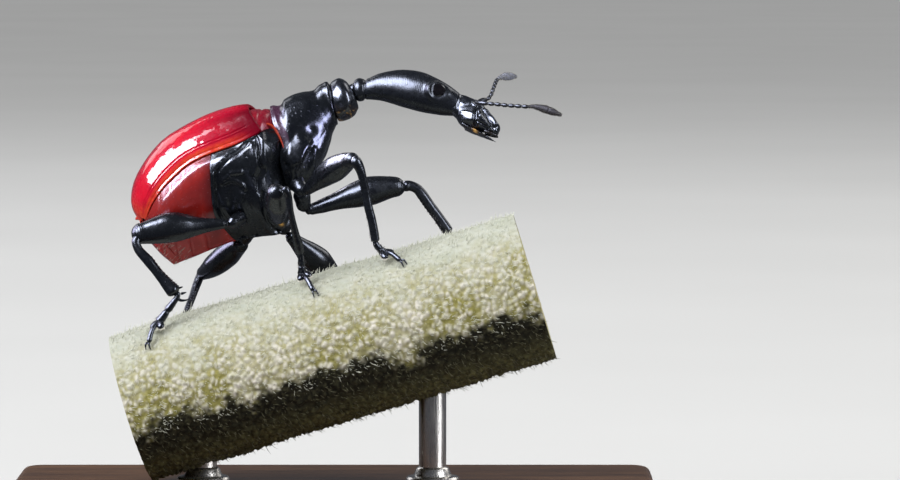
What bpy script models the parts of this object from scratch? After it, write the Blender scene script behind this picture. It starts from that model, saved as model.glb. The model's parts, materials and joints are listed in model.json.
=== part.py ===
"""Giraffe weevil (Trachelophorus giraffa, a short-necked female), life size, walking up a cut
length of hairy plant stem that two rods hold over a flat base.

Lengths are in millimetres and become metres where a mesh is made. +X is the way the weevil
faces, +Y is its left, +Z is up, and the base's underside is at z = 0. The insect is described
upright, with its middle plane at y = 0, and then leans over about the stem's axis.
"""
from math import cos, pi, radians, sin, sqrt

import bmesh
import bpy
import numpy as np
from mathutils import Matrix, Vector

MM = 0.001
GAP = 0.05                      # clearance between touching pieces
THIN = 0.25                     # least radius of a leg or feeler

# the stand and the perch
BASE_SIZE = (26.0, 14.0, 2.5)
BASE_MIDDLE_X = 1.3
BASE_CORNER = 0.5
ROD_RADIUS = 0.55
ROD_PLACES = (-3.9, 5.3)        # along X
ROD_SEAT = 1.0                  # depth of the rods' blind holes
STEM_RADIUS = 3.04
STEM_SLOPE = radians(16.9)
STEM_POINT = Vector((0.88, 0.0, 7.86))      # on the stem's axis, under the weevil's shoulders
STEM_ENDS = (-8.0, 8.9)         # along the axis from that point
STEM_STEPS = 6

# the insect's lean, away from its right side
LEAN = radians(16.0)

# elytra: the wing cases, described along their own axis, which slopes down to the tail
CASE_ORIGIN = (-1.73, 18.0)     # x and z of the front of the back's ridge
CASE_SLOPE = radians(43.8)
CASE_FRONT = 0.26
CASE_TIP = 6.82
CASE_HIGHEST = 4.06             # place of the ridge's highest point along the axis
CASE_HEIGHT = 1.58
CASE_FRONT_CURVE = (1.6, 0.66)  # superellipse exponents of the ridge ahead of that point
CASE_BACK_CURVE = (2.0, 0.5)    # and behind it
MARGIN_BELOW = 0.29             # how far below the axis the side edge runs along its middle
CASE_HALF_WIDTH = 2.35
CASE_THICKNESS = 0.5
CASE_CORNER = 2.3               # superellipse exponent of its cross-section
SHOULDER_SWEEP = 0.62           # how much farther back its front edge lies at the shoulder
TIP_START = 0.86                # share of its length where the two tips begin to part
TIP_SPREAD = 0.4                # how far the two rounded tips part
TIP_HALF_WIDTH = 0.9
SEAM_STRIP = 0.05               # share of its section that lies flat beside the back's seam


# ---- general helpers ---------------------------------------------------------------------

def clear_scene():
    for item in list(bpy.data.objects):
        bpy.data.objects.remove(item, do_unlink=True)


def collection(name):
    made = bpy.data.collections.new(name)
    bpy.context.scene.collection.children.link(made)
    return made


def material(name, colour, roughness, metallic=0.0, coat=0.0):
    made = bpy.data.materials.new(name)
    made.use_nodes = True
    surface = made.node_tree.nodes["Principled BSDF"]
    surface.inputs["Base Color"].default_value = (*colour, 1.0)
    surface.inputs["Roughness"].default_value = roughness
    surface.inputs["Metallic"].default_value = metallic
    surface.inputs["Coat Weight"].default_value = coat
    made.diffuse_color = (*colour, 1.0)
    return made


def smooth_rows(rows, per_span):
    """Rows of numbers with more rows between them, on Catmull-Rom curves through all of them."""
    rows = np.array(rows, float)
    before = np.vstack((2 * rows[0] - rows[1], rows, 2 * rows[-1] - rows[-2]))
    result = []
    for i in range(len(rows) - 1):
        a, b, c, d = before[i:i + 4]
        for step in range(per_span):
            t = step / per_span
            result.append(0.5 * (2 * b + (c - a) * t + (2 * a - 5 * b + 4 * c - d) * t ** 2
                                 + (3 * b - a - 3 * c + d) * t ** 3))
    result.append(rows[-1])
    return np.array(result)


def power(value, exponent):
    """A signed power, for superellipses."""
    return np.sign(value) * abs(value) ** exponent


class Builder:
    """Makes the named pieces, keeps them by name and gives each its material and place."""

    def __init__(self):
        self.parts = collection("giraffe_weevil")
        self.cutters = collection("cutters")
        self.pieces = {}
        self.materials = {
            "elytra_shell": material("elytra_shell", (0.50, 0.008, 0.012), 0.16, coat=1.0),
            "abdomen_shell": material("abdomen_shell", (0.30, 0.010, 0.012), 0.25, coat=0.6),
            "waist_shell": material("waist_shell", (0.24, 0.020, 0.012), 0.35),
            "black_shell": material("black_shell", (0.009, 0.010, 0.016), 0.18, coat=0.8),
            "leg_shell": material("leg_shell", (0.011, 0.012, 0.018), 0.22, coat=0.6),
            "eye_lens": material("eye_lens", (0.006, 0.006, 0.008), 0.06, coat=1.0),
            "antenna_shell": material("antenna_shell", (0.012, 0.013, 0.020), 0.35),
            "plant_stem": material("plant_stem", (0.46, 0.46, 0.33), 0.80),
            "stand_wood": material("stand_wood", (0.075, 0.034, 0.016), 0.45),
            "stand_metal": material("stand_metal", (0.62, 0.60, 0.56), 0.30, metallic=1.0),
        }
        self.lean = bpy.data.objects.new("weevil_lean", None)
        self.parts.objects.link(self.lean)
        axis = Vector((cos(STEM_SLOPE), 0.0, sin(STEM_SLOPE)))
        pivot = Matrix.Translation(STEM_POINT * MM)
        self.lean.matrix_world = pivot @ Matrix.Rotation(-LEAN, 4, axis) @ pivot.inverted()

    def keep(self, name, mesh, slot, origin, on_weevil=True):
        """A mesh in world millimetres becomes a piece with its own origin."""
        mesh.transform(Matrix.Translation(-Vector(origin)))
        mesh.transform(Matrix.Scale(MM, 4))
        mesh.name = name
        mesh.materials.clear()
        mesh.materials.append(self.materials[slot])
        piece = bpy.data.objects.new(name, mesh)
        piece.location = Vector(origin) * MM
        if on_weevil:
            piece.parent = self.lean
        self.parts.objects.link(piece)
        self.pieces[name] = piece
        return piece

    def carve(self, piece, *neighbours):
        """Cuts the neighbours out of the piece, each grown by the clearance."""
        bpy.context.view_layer.update()
        graph = bpy.context.evaluated_depsgraph_get()
        for neighbour in neighbours:
            solid = bpy.data.meshes.new_from_object(neighbour.evaluated_get(graph))
            mesh = bmesh.new()
            mesh.from_mesh(solid)
            bmesh.ops.triangulate(mesh, faces=mesh.faces)
            mesh.normal_update()
            for vertex in mesh.verts:
                vertex.co += vertex.normal * GAP * MM
            mesh.to_mesh(solid)
            mesh.free()
            grown = bpy.data.objects.new(f"cut_{piece.name}_{neighbour.name}", solid)
            grown.parent = neighbour.parent
            grown.location = neighbour.location
            self.cut(piece, grown)

    def cut(self, piece, cutter):
        cutter.hide_render = True
        cutter.display_type = "WIRE"
        for home in list(cutter.users_collection):
            home.objects.unlink(cutter)
        self.cutters.objects.link(cutter)
        difference = piece.modifiers.new(f"cut {len(piece.modifiers) + 1}", "BOOLEAN")
        difference.operation = "DIFFERENCE"
        difference.solver = "EXACT"
        difference.object = cutter


def finish(mesh, name):
    """The bmesh as a mesh with outward faces, shaded smooth."""
    bmesh.ops.recalc_face_normals(mesh, faces=mesh.faces)
    made = bpy.data.meshes.new(name)
    mesh.to_mesh(made)
    mesh.free()
    made.shade_smooth()
    return made


def loft(name, rings):
    """A closed skin over rings of equally many points, with flat ends."""
    mesh = bmesh.new()
    layers = [[mesh.verts.new(point) for point in ring] for ring in rings]
    count = len(layers[0])
    for near, far in zip(layers, layers[1:]):
        for i in range(count):
            mesh.faces.new((near[i], near[(i + 1) % count], far[(i + 1) % count], far[i]))
    mesh.faces.new(layers[0])
    mesh.faces.new(layers[-1])
    return finish(mesh, name)


def oval(top, bottom, half_width, widest=0.5, corner=2.0, sides=16):
    """A ring across the middle plane, from the (x, z) of its top to that of its bottom."""
    top = np.array((top[0], 0.0, top[1]))
    bottom = np.array((bottom[0], 0.0, bottom[1]))
    middle = top + (bottom - top) * widest
    ring = []
    for step in range(sides):
        angle = 2 * pi * (step + 0.5) / sides
        rise = power(cos(angle), 2 / corner)
        reach = power(sin(angle), 2 / corner)
        away = (top - middle) * rise if rise > 0 else (middle - bottom) * rise
        ring.append(middle + away + np.array((0.0, half_width * reach, 0.0)))
    return ring


def body_loft(name, stations, per_span=2, widest=0.5, sides=16):
    """A loft over stations of top x, top z, bottom x, bottom z and half-width."""
    rows = smooth_rows(stations, per_span)
    return loft(name, [oval(row[0:2], row[2:4], row[4], widest, sides=sides) for row in rows])


def limb(name, points, radius, steps=8):
    """A round-ended tube along a smooth line through the points; radius(t) runs from 0 to 1."""
    path = smooth_rows(points, 12)
    lengths = np.concatenate(([0], np.cumsum(np.linalg.norm(np.diff(path, axis=0), axis=1))))
    length = lengths[-1]
    cap_start = min(radius(0.0), length / 3)
    cap_end = min(radius(1.0), length / 3)
    inner = np.linspace(cap_start, length - cap_end, steps)
    places = np.concatenate(([0.0, 0.35 * cap_start], inner, [length - 0.35 * cap_end, length]))
    curve = bpy.data.curves.new(name, "CURVE")
    curve.dimensions = "3D"
    curve.bevel_depth = 1.0
    curve.bevel_resolution = 2
    curve.resolution_u = 1
    curve.use_fill_caps = True
    line = curve.splines.new("POLY")
    line.points.add(len(places) - 1)
    for point, place in zip(line.points, places):
        spot = [np.interp(place, lengths, path[:, k]) for k in range(3)]
        point.co = (*spot, 1.0)
        full = radius(place / length)
        to_end = min(place / cap_start, (length - place) / cap_end, 1.0)
        point.radius = full * max(0.45, sqrt(1 - (1 - to_end) ** 2))
    holder = bpy.data.objects.new(name, curve)
    bpy.context.scene.collection.objects.link(holder)
    bpy.context.view_layer.update()
    raw = bpy.data.meshes.new_from_object(holder)
    bpy.data.objects.remove(holder, do_unlink=True)
    mesh = bmesh.new()
    mesh.from_mesh(raw)
    bmesh.ops.remove_doubles(mesh, verts=mesh.verts, dist=0.001)
    return finish(mesh, name)


# ---- the wing cases and the trunk under them -----------------------------------------------

def case_point(along, side, below):
    """A place given along the wing cases' axis, to the left of it and on its belly side."""
    x = CASE_ORIGIN[0] - along * cos(CASE_SLOPE) + below * sin(CASE_SLOPE)
    z = CASE_ORIGIN[1] - along * sin(CASE_SLOPE) - below * cos(CASE_SLOPE)
    return np.array((x, side, z))


def ridge(along, inset=0.0):
    """How far below the axis the back's ridge runs, or a line inside it by the inset."""
    before = along < CASE_HIGHEST
    span = (CASE_HIGHEST - CASE_FRONT if before else CASE_TIP - CASE_HIGHEST) - inset
    share = min(abs(along - CASE_HIGHEST) / span, 1.0)
    inner, outer = CASE_FRONT_CURVE if before else CASE_BACK_CURVE
    return -(CASE_HEIGHT - inset) * (1 - share ** inner) ** outer


def margin(along):
    """How far below the axis the side edge of the wing cases runs."""
    shoulder_end, waist, tail_start, tail_length = 0.9, 4.4, 5.0, 1.9
    shoulder_drop, tail_drop = 0.46, 0.32
    if along < waist:
        share = max(along - shoulder_end, 0.0) / (waist - shoulder_end)
        return MARGIN_BELOW + shoulder_drop * (1 + cos(pi * share))
    return MARGIN_BELOW + tail_drop * max((along - tail_start) / tail_length, 0.0) ** 2


def case_width(along):
    """Half the width over both wing cases."""
    shoulder_length, tail_start, tail_length = 2.2, 4.2, 2.9
    shoulder = 1 - 0.16 * max(1 - along / shoulder_length, 0.0) ** 2
    to_tail = min(max((along - tail_start) / tail_length, 0.0), 1.0)
    return CASE_HALF_WIDTH * shoulder * (1 - to_tail ** 2.6) ** 0.5


def elytron(name, side, rows=14, columns=8):
    """One wing case: an open sheet thickened inwards, kept on its own side of the middle."""
    mesh = bmesh.new()
    bmesh.ops.create_grid(mesh, x_segments=rows - 1, y_segments=columns - 1, size=0.5)
    for vertex in mesh.verts:
        u = vertex.co.x + 0.5
        column = round((vertex.co.y + 0.5) * (columns - 1))
        v = SEAM_STRIP + (1 - SEAM_STRIP) * (column - 1) / (columns - 2) if column else 0.0
        front = CASE_FRONT + SHOULDER_SWEEP * v
        outer_corner = 0.9 * max(v - 0.35, 0.0) ** 1.6
        inner_corner = 0.5 * max(0.25 - v, 0.0)
        tip = CASE_TIP + 0.08 - outer_corner - inner_corner
        along = front + (tip - front) * u
        angle = v * pi / 2
        inner = GAP / 2 + TIP_SPREAD * max((u - TIP_START) / (1 - TIP_START), 0.0) ** 2
        outer = max(case_width(along), TIP_HALF_WIDTH)
        reach = inner + (outer - inner) * sin(angle) ** (2 / CASE_CORNER)
        crest = ridge(min(along, CASE_TIP))
        below = margin(along) - (margin(along) - crest) * cos(angle) ** (2 / CASE_CORNER)
        vertex.co = case_point(along, side * reach, below)
    made = finish(mesh, name)
    middle = case_point(3.5, side * 1.2, 0.0)
    flip = sum((f.center - Vector(middle)).dot(f.normal) for f in made.polygons) < 0
    if flip:
        made.flip_normals()
    return made


def trunk_ring(along, top, bottom, half_width, sides=20):
    """One section of the trunk: narrow under the wing cases, with a ledge at their edge."""
    edge = max(margin(along) + GAP, top + 0.05)
    under = max(case_width(along) - CASE_THICKNESS - 2 * GAP, 0.5)
    under = min(under, half_width)
    quarter = sides // 4
    right = []
    for step in range(quarter + 1):
        angle = pi / 2 * step / quarter
        reach = under * sin(angle) ** (2 / CASE_CORNER)
        right.append((reach, edge - (edge - top) * cos(angle) ** (2 / CASE_CORNER)))
    for step in range(quarter + 1):
        angle = pi / 2 * step / quarter
        reach = half_width * cos(angle) ** 0.8
        right.append((max(reach, 0.0), edge + 0.02 + (bottom - edge - 0.02) * sin(angle) ** 0.9))
    left = [(-reach, below) for reach, below in reversed(right[1:-1])]
    return [case_point(along, reach, below) for reach, below in right + left]


def trunk_top(along):
    """Height of the trunk's middle line inside the wing cases, and behind and before them."""
    inside = ridge(along, CASE_THICKNESS + 3 * GAP)
    ramp_end, tail_start = 1.2, 5.9
    if along < ramp_end:
        return max(inside, 0.85 - 1.6 * (along - TRUNK_STATIONS[0][0]))
    if along > tail_start:
        return max(inside, min(-0.55 + 3.2 * (along - tail_start), margin(along) + 0.12))
    return inside


TRUNK_STATIONS = (
    # along, depth of the belly line, half-width
    (0.45, 1.60, 1.30),
    (1.00, 2.70, 1.80),
    (1.70, 3.55, 2.00),
    (2.50, 4.40, 2.05),
    (3.10, 4.45, 2.05),
    (3.80, 3.95, 2.05),
    (4.60, 3.40, 2.05),
    (5.50, 3.00, 2.00),
    (6.20, 2.72, 1.85),
    (6.75, 2.48, 1.55),
    (7.05, 2.20, 1.15),
)


def trunk(name):
    rings = []
    for along, bottom, half_width in smooth_rows(TRUNK_STATIONS, 2):
        rings.append(trunk_ring(along, trunk_top(along), bottom, half_width))
    return loft(name, rings)


def prism(name, outline, half_width=4.0):
    """A cutter with a flat outline in x and z, as wide as the whole insect."""
    mesh = bmesh.new()
    face = mesh.faces.new([mesh.verts.new((x, -half_width, z)) for x, z in outline])
    pushed = bmesh.ops.extrude_face_region(mesh, geom=[face])["geom"]
    corners = [item for item in pushed if isinstance(item, bmesh.types.BMVert)]
    bmesh.ops.translate(mesh, verts=corners, vec=(0.0, 2 * half_width, 0.0))
    made = finish(mesh, name)
    made.transform(Matrix.Scale(MM, 4))
    return bpy.data.objects.new(name, made)


# the line between thorax and abdomen, from the back to the belly
PARTING = ((-3.42, 20.0), (-3.42, 13.15), (-2.25, 12.35), (-2.25, 8.0))
# the front of the rear thorax, from the back to the belly
THORAX_FRONT = ((-1.95, 20.0), (-1.55, 17.30), (-1.25, 16.60), (-1.00, 16.00), (-0.85, 15.30),
                (-0.72, 14.40), (-0.62, 8.0))


def add_trunk(build):
    for side, word in ((-1, "right"), (1, "left")):
        case = build.keep(f"elytron_{word}", elytron(f"elytron_{word}", side), "elytra_shell",
                          case_point(CASE_FRONT, side * 0.5, 0.0))
        sheet = case.modifiers.new("thickness", "SOLIDIFY")
        sheet.thickness = CASE_THICKNESS * MM
        sheet.offset = -1.0
    thorax = build.keep("thorax_rear", trunk("thorax_rear"), "black_shell", (-2.0, 0.0, 14.8))
    abdomen = build.keep("abdomen", trunk("abdomen"), "abdomen_shell", (-4.5, 0.0, 13.5))
    behind = [(x - GAP / 2, z) for x, z in PARTING]
    ahead = [(x + GAP / 2, z) for x, z in PARTING]
    tail_side = prism("cut_tail_side", ahead + [(-9.0, 8.0), (-9.0, 20.0)])
    head_side = prism("cut_head_side", behind + [(2.0, 8.0), (2.0, 20.0)])
    front_side = prism("cut_front_side", list(THORAX_FRONT) + [(2.0, 8.0), (2.0, 20.0)])
    for cutter in (tail_side, head_side, front_side):
        cutter.parent = build.lean
    build.cut(thorax, tail_side)
    build.cut(thorax, front_side)
    build.cut(abdomen, head_side)


# ---- fore body: waist, prothorax, collar, neck, head and rostrum ----------------------------

# each row: top x, top z, bottom x, bottom z, half-width
WAIST_STATIONS = (
    (-1.93, 17.66, -1.30, 15.95, 1.22),
    (-1.62, 17.74, -1.12, 16.00, 1.28),
    (-1.39, 17.77, -1.00, 16.05, 1.30),
)
PROTHORAX_STATIONS = (
    (-1.33, 17.96, -0.60, 14.44, 1.42),
    (-0.95, 18.07, -0.12, 14.36, 1.50),
    (-0.39, 18.33, 0.40, 14.72, 1.40),
    (0.13, 18.47, 0.79, 15.59, 1.20),
    (0.54, 18.72, 1.10, 16.50, 0.95),
    (0.88, 18.84, 1.35, 17.20, 0.80),
)
COLLAR_STATIONS = (
    (0.94, 18.84, 1.41, 17.22, 0.78),
    (1.35, 18.97, 1.74, 17.36, 0.80),
    (1.63, 18.90, 2.06, 17.52, 0.74),
    (1.82, 18.74, 2.19, 17.82, 0.52),
)
NECK_STATIONS = (
    (1.70, 18.72, 1.82, 18.34, 0.20),
    (1.88, 18.80, 2.00, 18.28, 0.30),
    (2.06, 18.95, 2.17, 18.14, 0.40),
    (2.24, 19.02, 2.34, 18.10, 0.42),
    (2.36, 18.97, 2.46, 18.15, 0.38),
    (2.60, 19.02, 2.64, 18.13, 0.42),
    (3.05, 19.25, 3.07, 18.10, 0.53),
    (3.66, 19.37, 3.60, 17.97, 0.63),
)
HEAD_STATIONS = (
    (3.71, 19.38, 3.65, 17.96, 0.64),
    (4.27, 19.37, 4.13, 17.80, 0.70),
    (4.84, 19.25, 4.65, 17.66, 0.71),
    (5.37, 19.03, 5.18, 17.54, 0.66),
    (5.82, 18.78, 5.63, 17.48, 0.56),
    (6.18, 18.46, 5.99, 17.46, 0.45),
)
ROSTRUM_STATIONS = (
    (6.25, 18.39, 6.08, 17.44, 0.43),
    (6.55, 18.26, 6.28, 17.18, 0.47),
    (6.84, 18.15, 6.53, 16.91, 0.54),
    (7.12, 18.02, 6.85, 16.74, 0.58),
    (7.38, 17.78, 7.14, 16.64, 0.53),
    (7.62, 17.50, 7.42, 16.64, 0.43),
    (7.84, 17.14, 7.68, 16.72, 0.28),
)
JAW = ((7.34, 0.24, 16.44), (7.60, 0.22, 16.40), (7.86, 0.14, 16.46))
JAW_RADIUS = 0.13
EYE_MIDDLE = (5.47, 0.40, 18.39)
EYE_RADII = (0.34, 0.34, 0.34)


def add_fore_body(build):
    waist = build.keep("waist", body_loft("waist", WAIST_STATIONS), "waist_shell",
                       (-1.6, 0.0, 17.0))
    prothorax = build.keep("prothorax", body_loft("prothorax", PROTHORAX_STATIONS),
                           "black_shell", (-0.4, 0.0, 16.4))
    collar = build.keep("collar", body_loft("collar", COLLAR_STATIONS), "black_shell",
                        (1.5, 0.0, 18.2))
    neck = build.keep("neck", body_loft("neck", NECK_STATIONS, sides=14), "black_shell",
                      (2.2, 0.0, 18.6))
    head = build.keep("head", body_loft("head", HEAD_STATIONS, widest=0.46, sides=14),
                      "black_shell", (4.8, 0.0, 18.4))
    build.keep("rostrum", body_loft("rostrum", ROSTRUM_STATIONS, widest=0.45, sides=14),
               "black_shell", (6.6, 0.0, 17.7))
    build.carve(collar, neck)
    build.carve(waist, build.pieces["thorax_rear"], build.pieces["elytron_right"],
                build.pieces["elytron_left"], prothorax)
    for side, word in ((-1, "right"), (1, "left")):
        x, y, z = EYE_MIDDLE
        mesh = bmesh.new()
        bmesh.ops.create_uvsphere(mesh, u_segments=12, v_segments=8, radius=1.0)
        bmesh.ops.scale(mesh, vec=EYE_RADII, verts=mesh.verts)
        bmesh.ops.translate(mesh, vec=(x, side * y, z), verts=mesh.verts)
        eye = build.keep(f"eye_{word}", finish(mesh, f"eye_{word}"), "eye_lens",
                         (x, side * y, z))
        build.carve(head, eye)
        jaw_path = [(x, side * y, z) for x, y, z in JAW]
        jaw = limb(f"mandible_{word}", jaw_path, lambda t: JAW_RADIUS, steps=2)
        build.keep(f"mandible_{word}", jaw, "black_shell", jaw_path[0])


# ---- antennae ------------------------------------------------------------------------------

# the feeler's path from the side of the rostrum, then the club's
FEELERS = {
    "right": (((6.92, -0.82, 17.86), (7.30, -0.95, 17.80), (8.10, -1.00, 17.76),
               (9.04, -1.10, 17.62)),
              ((9.14, -1.11, 17.60), (9.80, -1.17, 17.45), (10.52, -1.20, 17.18))),
    "left": (((6.92, 0.82, 17.95), (7.20, 1.10, 18.15), (7.40, 1.55, 18.70), (7.62, 2.10, 19.25)),
             ((7.68, 2.17, 19.34), (8.00, 2.70, 19.62), (8.40, 3.30, 19.75))),
}


def club_radius(t):
    return THIN + 0.03 * sin(pi * t)


def add_antennae(build):
    for word, (feeler, club) in FEELERS.items():
        name = f"antenna_{word}"
        build.keep(name, limb(name, feeler, lambda t: THIN, steps=6), "antenna_shell", feeler[0])
        name = f"antenna_club_{word}"
        build.keep(name, limb(name, club, club_radius, steps=5), "antenna_shell", club[0])


# ---- legs ------------------------------------------------------------------------------------

def on_stem(along, height, angle):
    """A place over the stem's surface, turned by the angle (degrees) to the weevil's right."""
    axis = np.array((cos(STEM_SLOPE), 0.0, sin(STEM_SLOPE)))
    upward = np.array((-sin(STEM_SLOPE), 0.0, cos(STEM_SLOPE)))
    outward = cos(radians(angle)) * upward + sin(radians(angle)) * np.array((0.0, -1.0, 0.0))
    return np.array(STEM_POINT) + along * axis + (STEM_RADIUS + height) * outward


FOOT = THIN + GAP               # height of a foot's middle line over the stem
# hip, trochanter, knee, shin's bend, ankle, pad and claw tip
LEGS = {
    "front_right": ((-0.19, -0.50, 14.62), (0.11, -0.90, 14.12), (2.43, -3.84, 14.87),
                    (2.70, -3.62, 14.38), (3.18, -2.38, 11.85),
                    on_stem(3.58, FOOT, 39), on_stem(4.20, FOOT, 54)),
    "front_left": ((-0.12, 0.50, 14.35), (0.08, 0.90, 13.74), (3.91, 1.74, 14.95),
                   (4.35, 2.00, 14.89), (5.76, 2.60, 13.09),
                   on_stem(6.72, FOOT, -42), on_stem(7.25, FOOT, -54)),
    "mid_right": ((-0.96, -1.00, 13.33), (-0.76, -1.35, 12.85), (-0.60, -4.24, 13.57),
                  (-0.12, -4.25, 13.34), (0.22, -2.45, 11.33),
                  on_stem(0.16, FOOT, 38), on_stem(0.52, FOOT, 58)),
    "mid_left": ((-1.00, 1.00, 13.33), (-0.76, 1.30, 12.90), (1.21, 3.30, 11.29),
                 (1.33, 3.63, 10.86), (1.67, 3.98, 8.54),
                 on_stem(0.65, FOOT, -97), on_stem(0.80, FOOT, -112)),
    "hind_right": ((-2.20, -1.10, 13.15), (-2.66, -1.84, 12.64), (-6.45, -2.75, 12.02),
                   (-6.22, -2.74, 11.42), (-4.76, -2.45, 9.75),
                   on_stem(-5.96, FOOT, 41), on_stem(-6.46, FOOT, 59)),
    "hind_left": ((-2.20, 1.10, 13.15), (-2.64, 1.84, 12.62), (-4.67, 4.70, 11.97),
                  (-4.77, 4.46, 11.64), (-5.19, 3.32, 9.78),
                  on_stem(-5.40, FOOT, -50), on_stem(-5.90, FOOT, -64)),
}
COXA_LENGTH = 1.1
COXA_RADII = (0.50, 0.34)       # at the body and at its outer end


def coxa_radius(t):
    return COXA_RADII[0] + (COXA_RADII[1] - COXA_RADII[0]) * t


def femur_radius(t):
    """Slim at the hip, a club beyond its middle, narrower at the knee."""
    return 0.27 + 0.33 * sin(pi * t ** 1.35) ** 1.2 + 0.07 * t


def tibia_radius(t):
    """Slim, and a little wider just before the foot."""
    return THIN + 0.07 * t ** 5


def beyond(centre, towards, distance):
    """The place at a distance from the centre on the way to another place."""
    centre = np.array(centre)
    way = np.array(towards) - centre
    return centre + way * distance / np.linalg.norm(way)


def add_legs(build):
    """Four solids for each leg, each starting a gap beyond the one before it."""
    for leg, (hip, trochanter, knee, bend, ankle, pad, claw) in LEGS.items():
        if leg.startswith("front"):
            neighbours = ["prothorax"]
        elif leg.startswith("mid"):
            neighbours = ["thorax_rear"]
        else:
            neighbours = ["thorax_rear", "abdomen"]
        hip = beyond(trochanter, hip, COXA_LENGTH)
        name = f"leg_{leg}_coxa"
        coxa = build.keep(name, limb(name, (hip, trochanter), coxa_radius, steps=4), "leg_shell", hip)
        build.carve(coxa, *(build.pieces[neighbour] for neighbour in neighbours))

        joint = beyond(trochanter, hip, coxa_radius(1.0))
        start = beyond(joint, knee, coxa_radius(1.0) + GAP)
        name = f"leg_{leg}_femur"
        build.keep(name, limb(name, (start, knee), femur_radius), "leg_shell", start)

        joint = beyond(knee, start, femur_radius(1.0))
        start = beyond(joint, bend, femur_radius(1.0) + GAP)
        name = f"leg_{leg}_tibia"
        build.keep(name, limb(name, (start, bend, ankle), tibia_radius, steps=6), "leg_shell", start)

        joint = beyond(ankle, bend, tibia_radius(1.0))
        start = beyond(joint, pad, tibia_radius(1.0) + GAP)
        name = f"leg_{leg}_tarsus"
        build.keep(name, limb(name, (start, pad, claw), lambda t: THIN, steps=5), "leg_shell", start)


# ---- perch and stand -------------------------------------------------------------------------

def stem_place(along):
    """A point on the stem's axis."""
    axis = Vector((cos(STEM_SLOPE), 0.0, sin(STEM_SLOPE)))
    return STEM_POINT + along * axis


def cylinder(name, radius, low, high, x):
    """An upright round bar between two heights."""
    mesh = bmesh.new()
    bmesh.ops.create_cone(mesh, segments=20, radius1=radius, radius2=radius, depth=high - low,
                          cap_ends=True)
    bmesh.ops.translate(mesh, vec=(x, 0.0, (low + high) / 2), verts=mesh.verts)
    return finish(mesh, name)


def add_stand(build):
    curve = bpy.data.curves.new("perch_stem", "CURVE")
    curve.dimensions = "3D"
    curve.bevel_depth = STEM_RADIUS
    curve.bevel_resolution = 7
    curve.use_fill_caps = True
    line = curve.splines.new("POLY")
    line.points.add(STEM_STEPS)
    for step, point in enumerate(line.points):
        share = step / STEM_STEPS
        along = STEM_ENDS[0] + (STEM_ENDS[1] - STEM_ENDS[0]) * share
        point.co = (*stem_place(along), 1.0)
    holder = bpy.data.objects.new("perch_stem_curve", curve)
    bpy.context.scene.collection.objects.link(holder)
    bpy.context.view_layer.update()
    raw = bpy.data.meshes.new_from_object(holder)
    bpy.data.objects.remove(holder, do_unlink=True)
    mesh = bmesh.new()
    mesh.from_mesh(raw)
    bmesh.ops.remove_doubles(mesh, verts=mesh.verts, dist=0.001)
    stem = build.keep("perch_stem", finish(mesh, "perch_stem"), "plant_stem", stem_place(0.0),
                      on_weevil=False)

    height = BASE_SIZE[2]
    mesh = bmesh.new()
    bmesh.ops.create_cube(mesh, size=1.0)
    bmesh.ops.scale(mesh, vec=BASE_SIZE, verts=mesh.verts)
    bmesh.ops.translate(mesh, vec=(BASE_MIDDLE_X, 0.0, height / 2), verts=mesh.verts)
    base = build.keep("stand_base", finish(mesh, "stand_base"), "stand_wood",
                      (BASE_MIDDLE_X, 0.0, 0.0), on_weevil=False)
    rounding = base.modifiers.new("rounded edges", "BEVEL")
    rounding.width = BASE_CORNER * MM
    rounding.segments = 2

    for number, x in enumerate(ROD_PLACES, start=1):
        axis_height = stem_place((x - STEM_POINT.x) / cos(STEM_SLOPE)).z
        underside = axis_height - STEM_RADIUS / cos(STEM_SLOPE)
        low = height - ROD_SEAT
        high = underside + ROD_SEAT
        build.keep(f"stand_rod_{number}", cylinder(f"stand_rod_{number}", ROD_RADIUS, low, high, x),
                   "stand_metal", (x, 0.0, low), on_weevil=False)
        hole = cylinder(f"cut_hole_{number}", ROD_RADIUS + GAP, low - GAP, high + GAP, x)
        hole.transform(Matrix.Scale(MM, 4))
        for piece in (stem, base):
            build.cut(piece, bpy.data.objects.new(f"cut_{piece.name}_{number}", hole.copy()))


def main():
    clear_scene()
    build = Builder()
    add_stand(build)
    add_trunk(build)
    add_fore_body(build)
    add_antennae(build)
    add_legs(build)
    bpy.context.view_layer.update()


main()
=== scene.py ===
"""The looks of the giraffe weevil: glossy shell plates, jointed legs and feelers in their true
slimness, a hairy length of plant stem as its perch, and the stand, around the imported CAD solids.

The insect is described in millimetres in its own upright frame (+X ahead, +Y its left, +Z up,
middle plane y = 0) and then leans over about the stem's axis, as in the CAD.
"""
import json
from itertools import product
from math import cos, pi, radians, sin

import bmesh
import bpy
import numpy as np
from mathutils import Matrix, Vector

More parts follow.
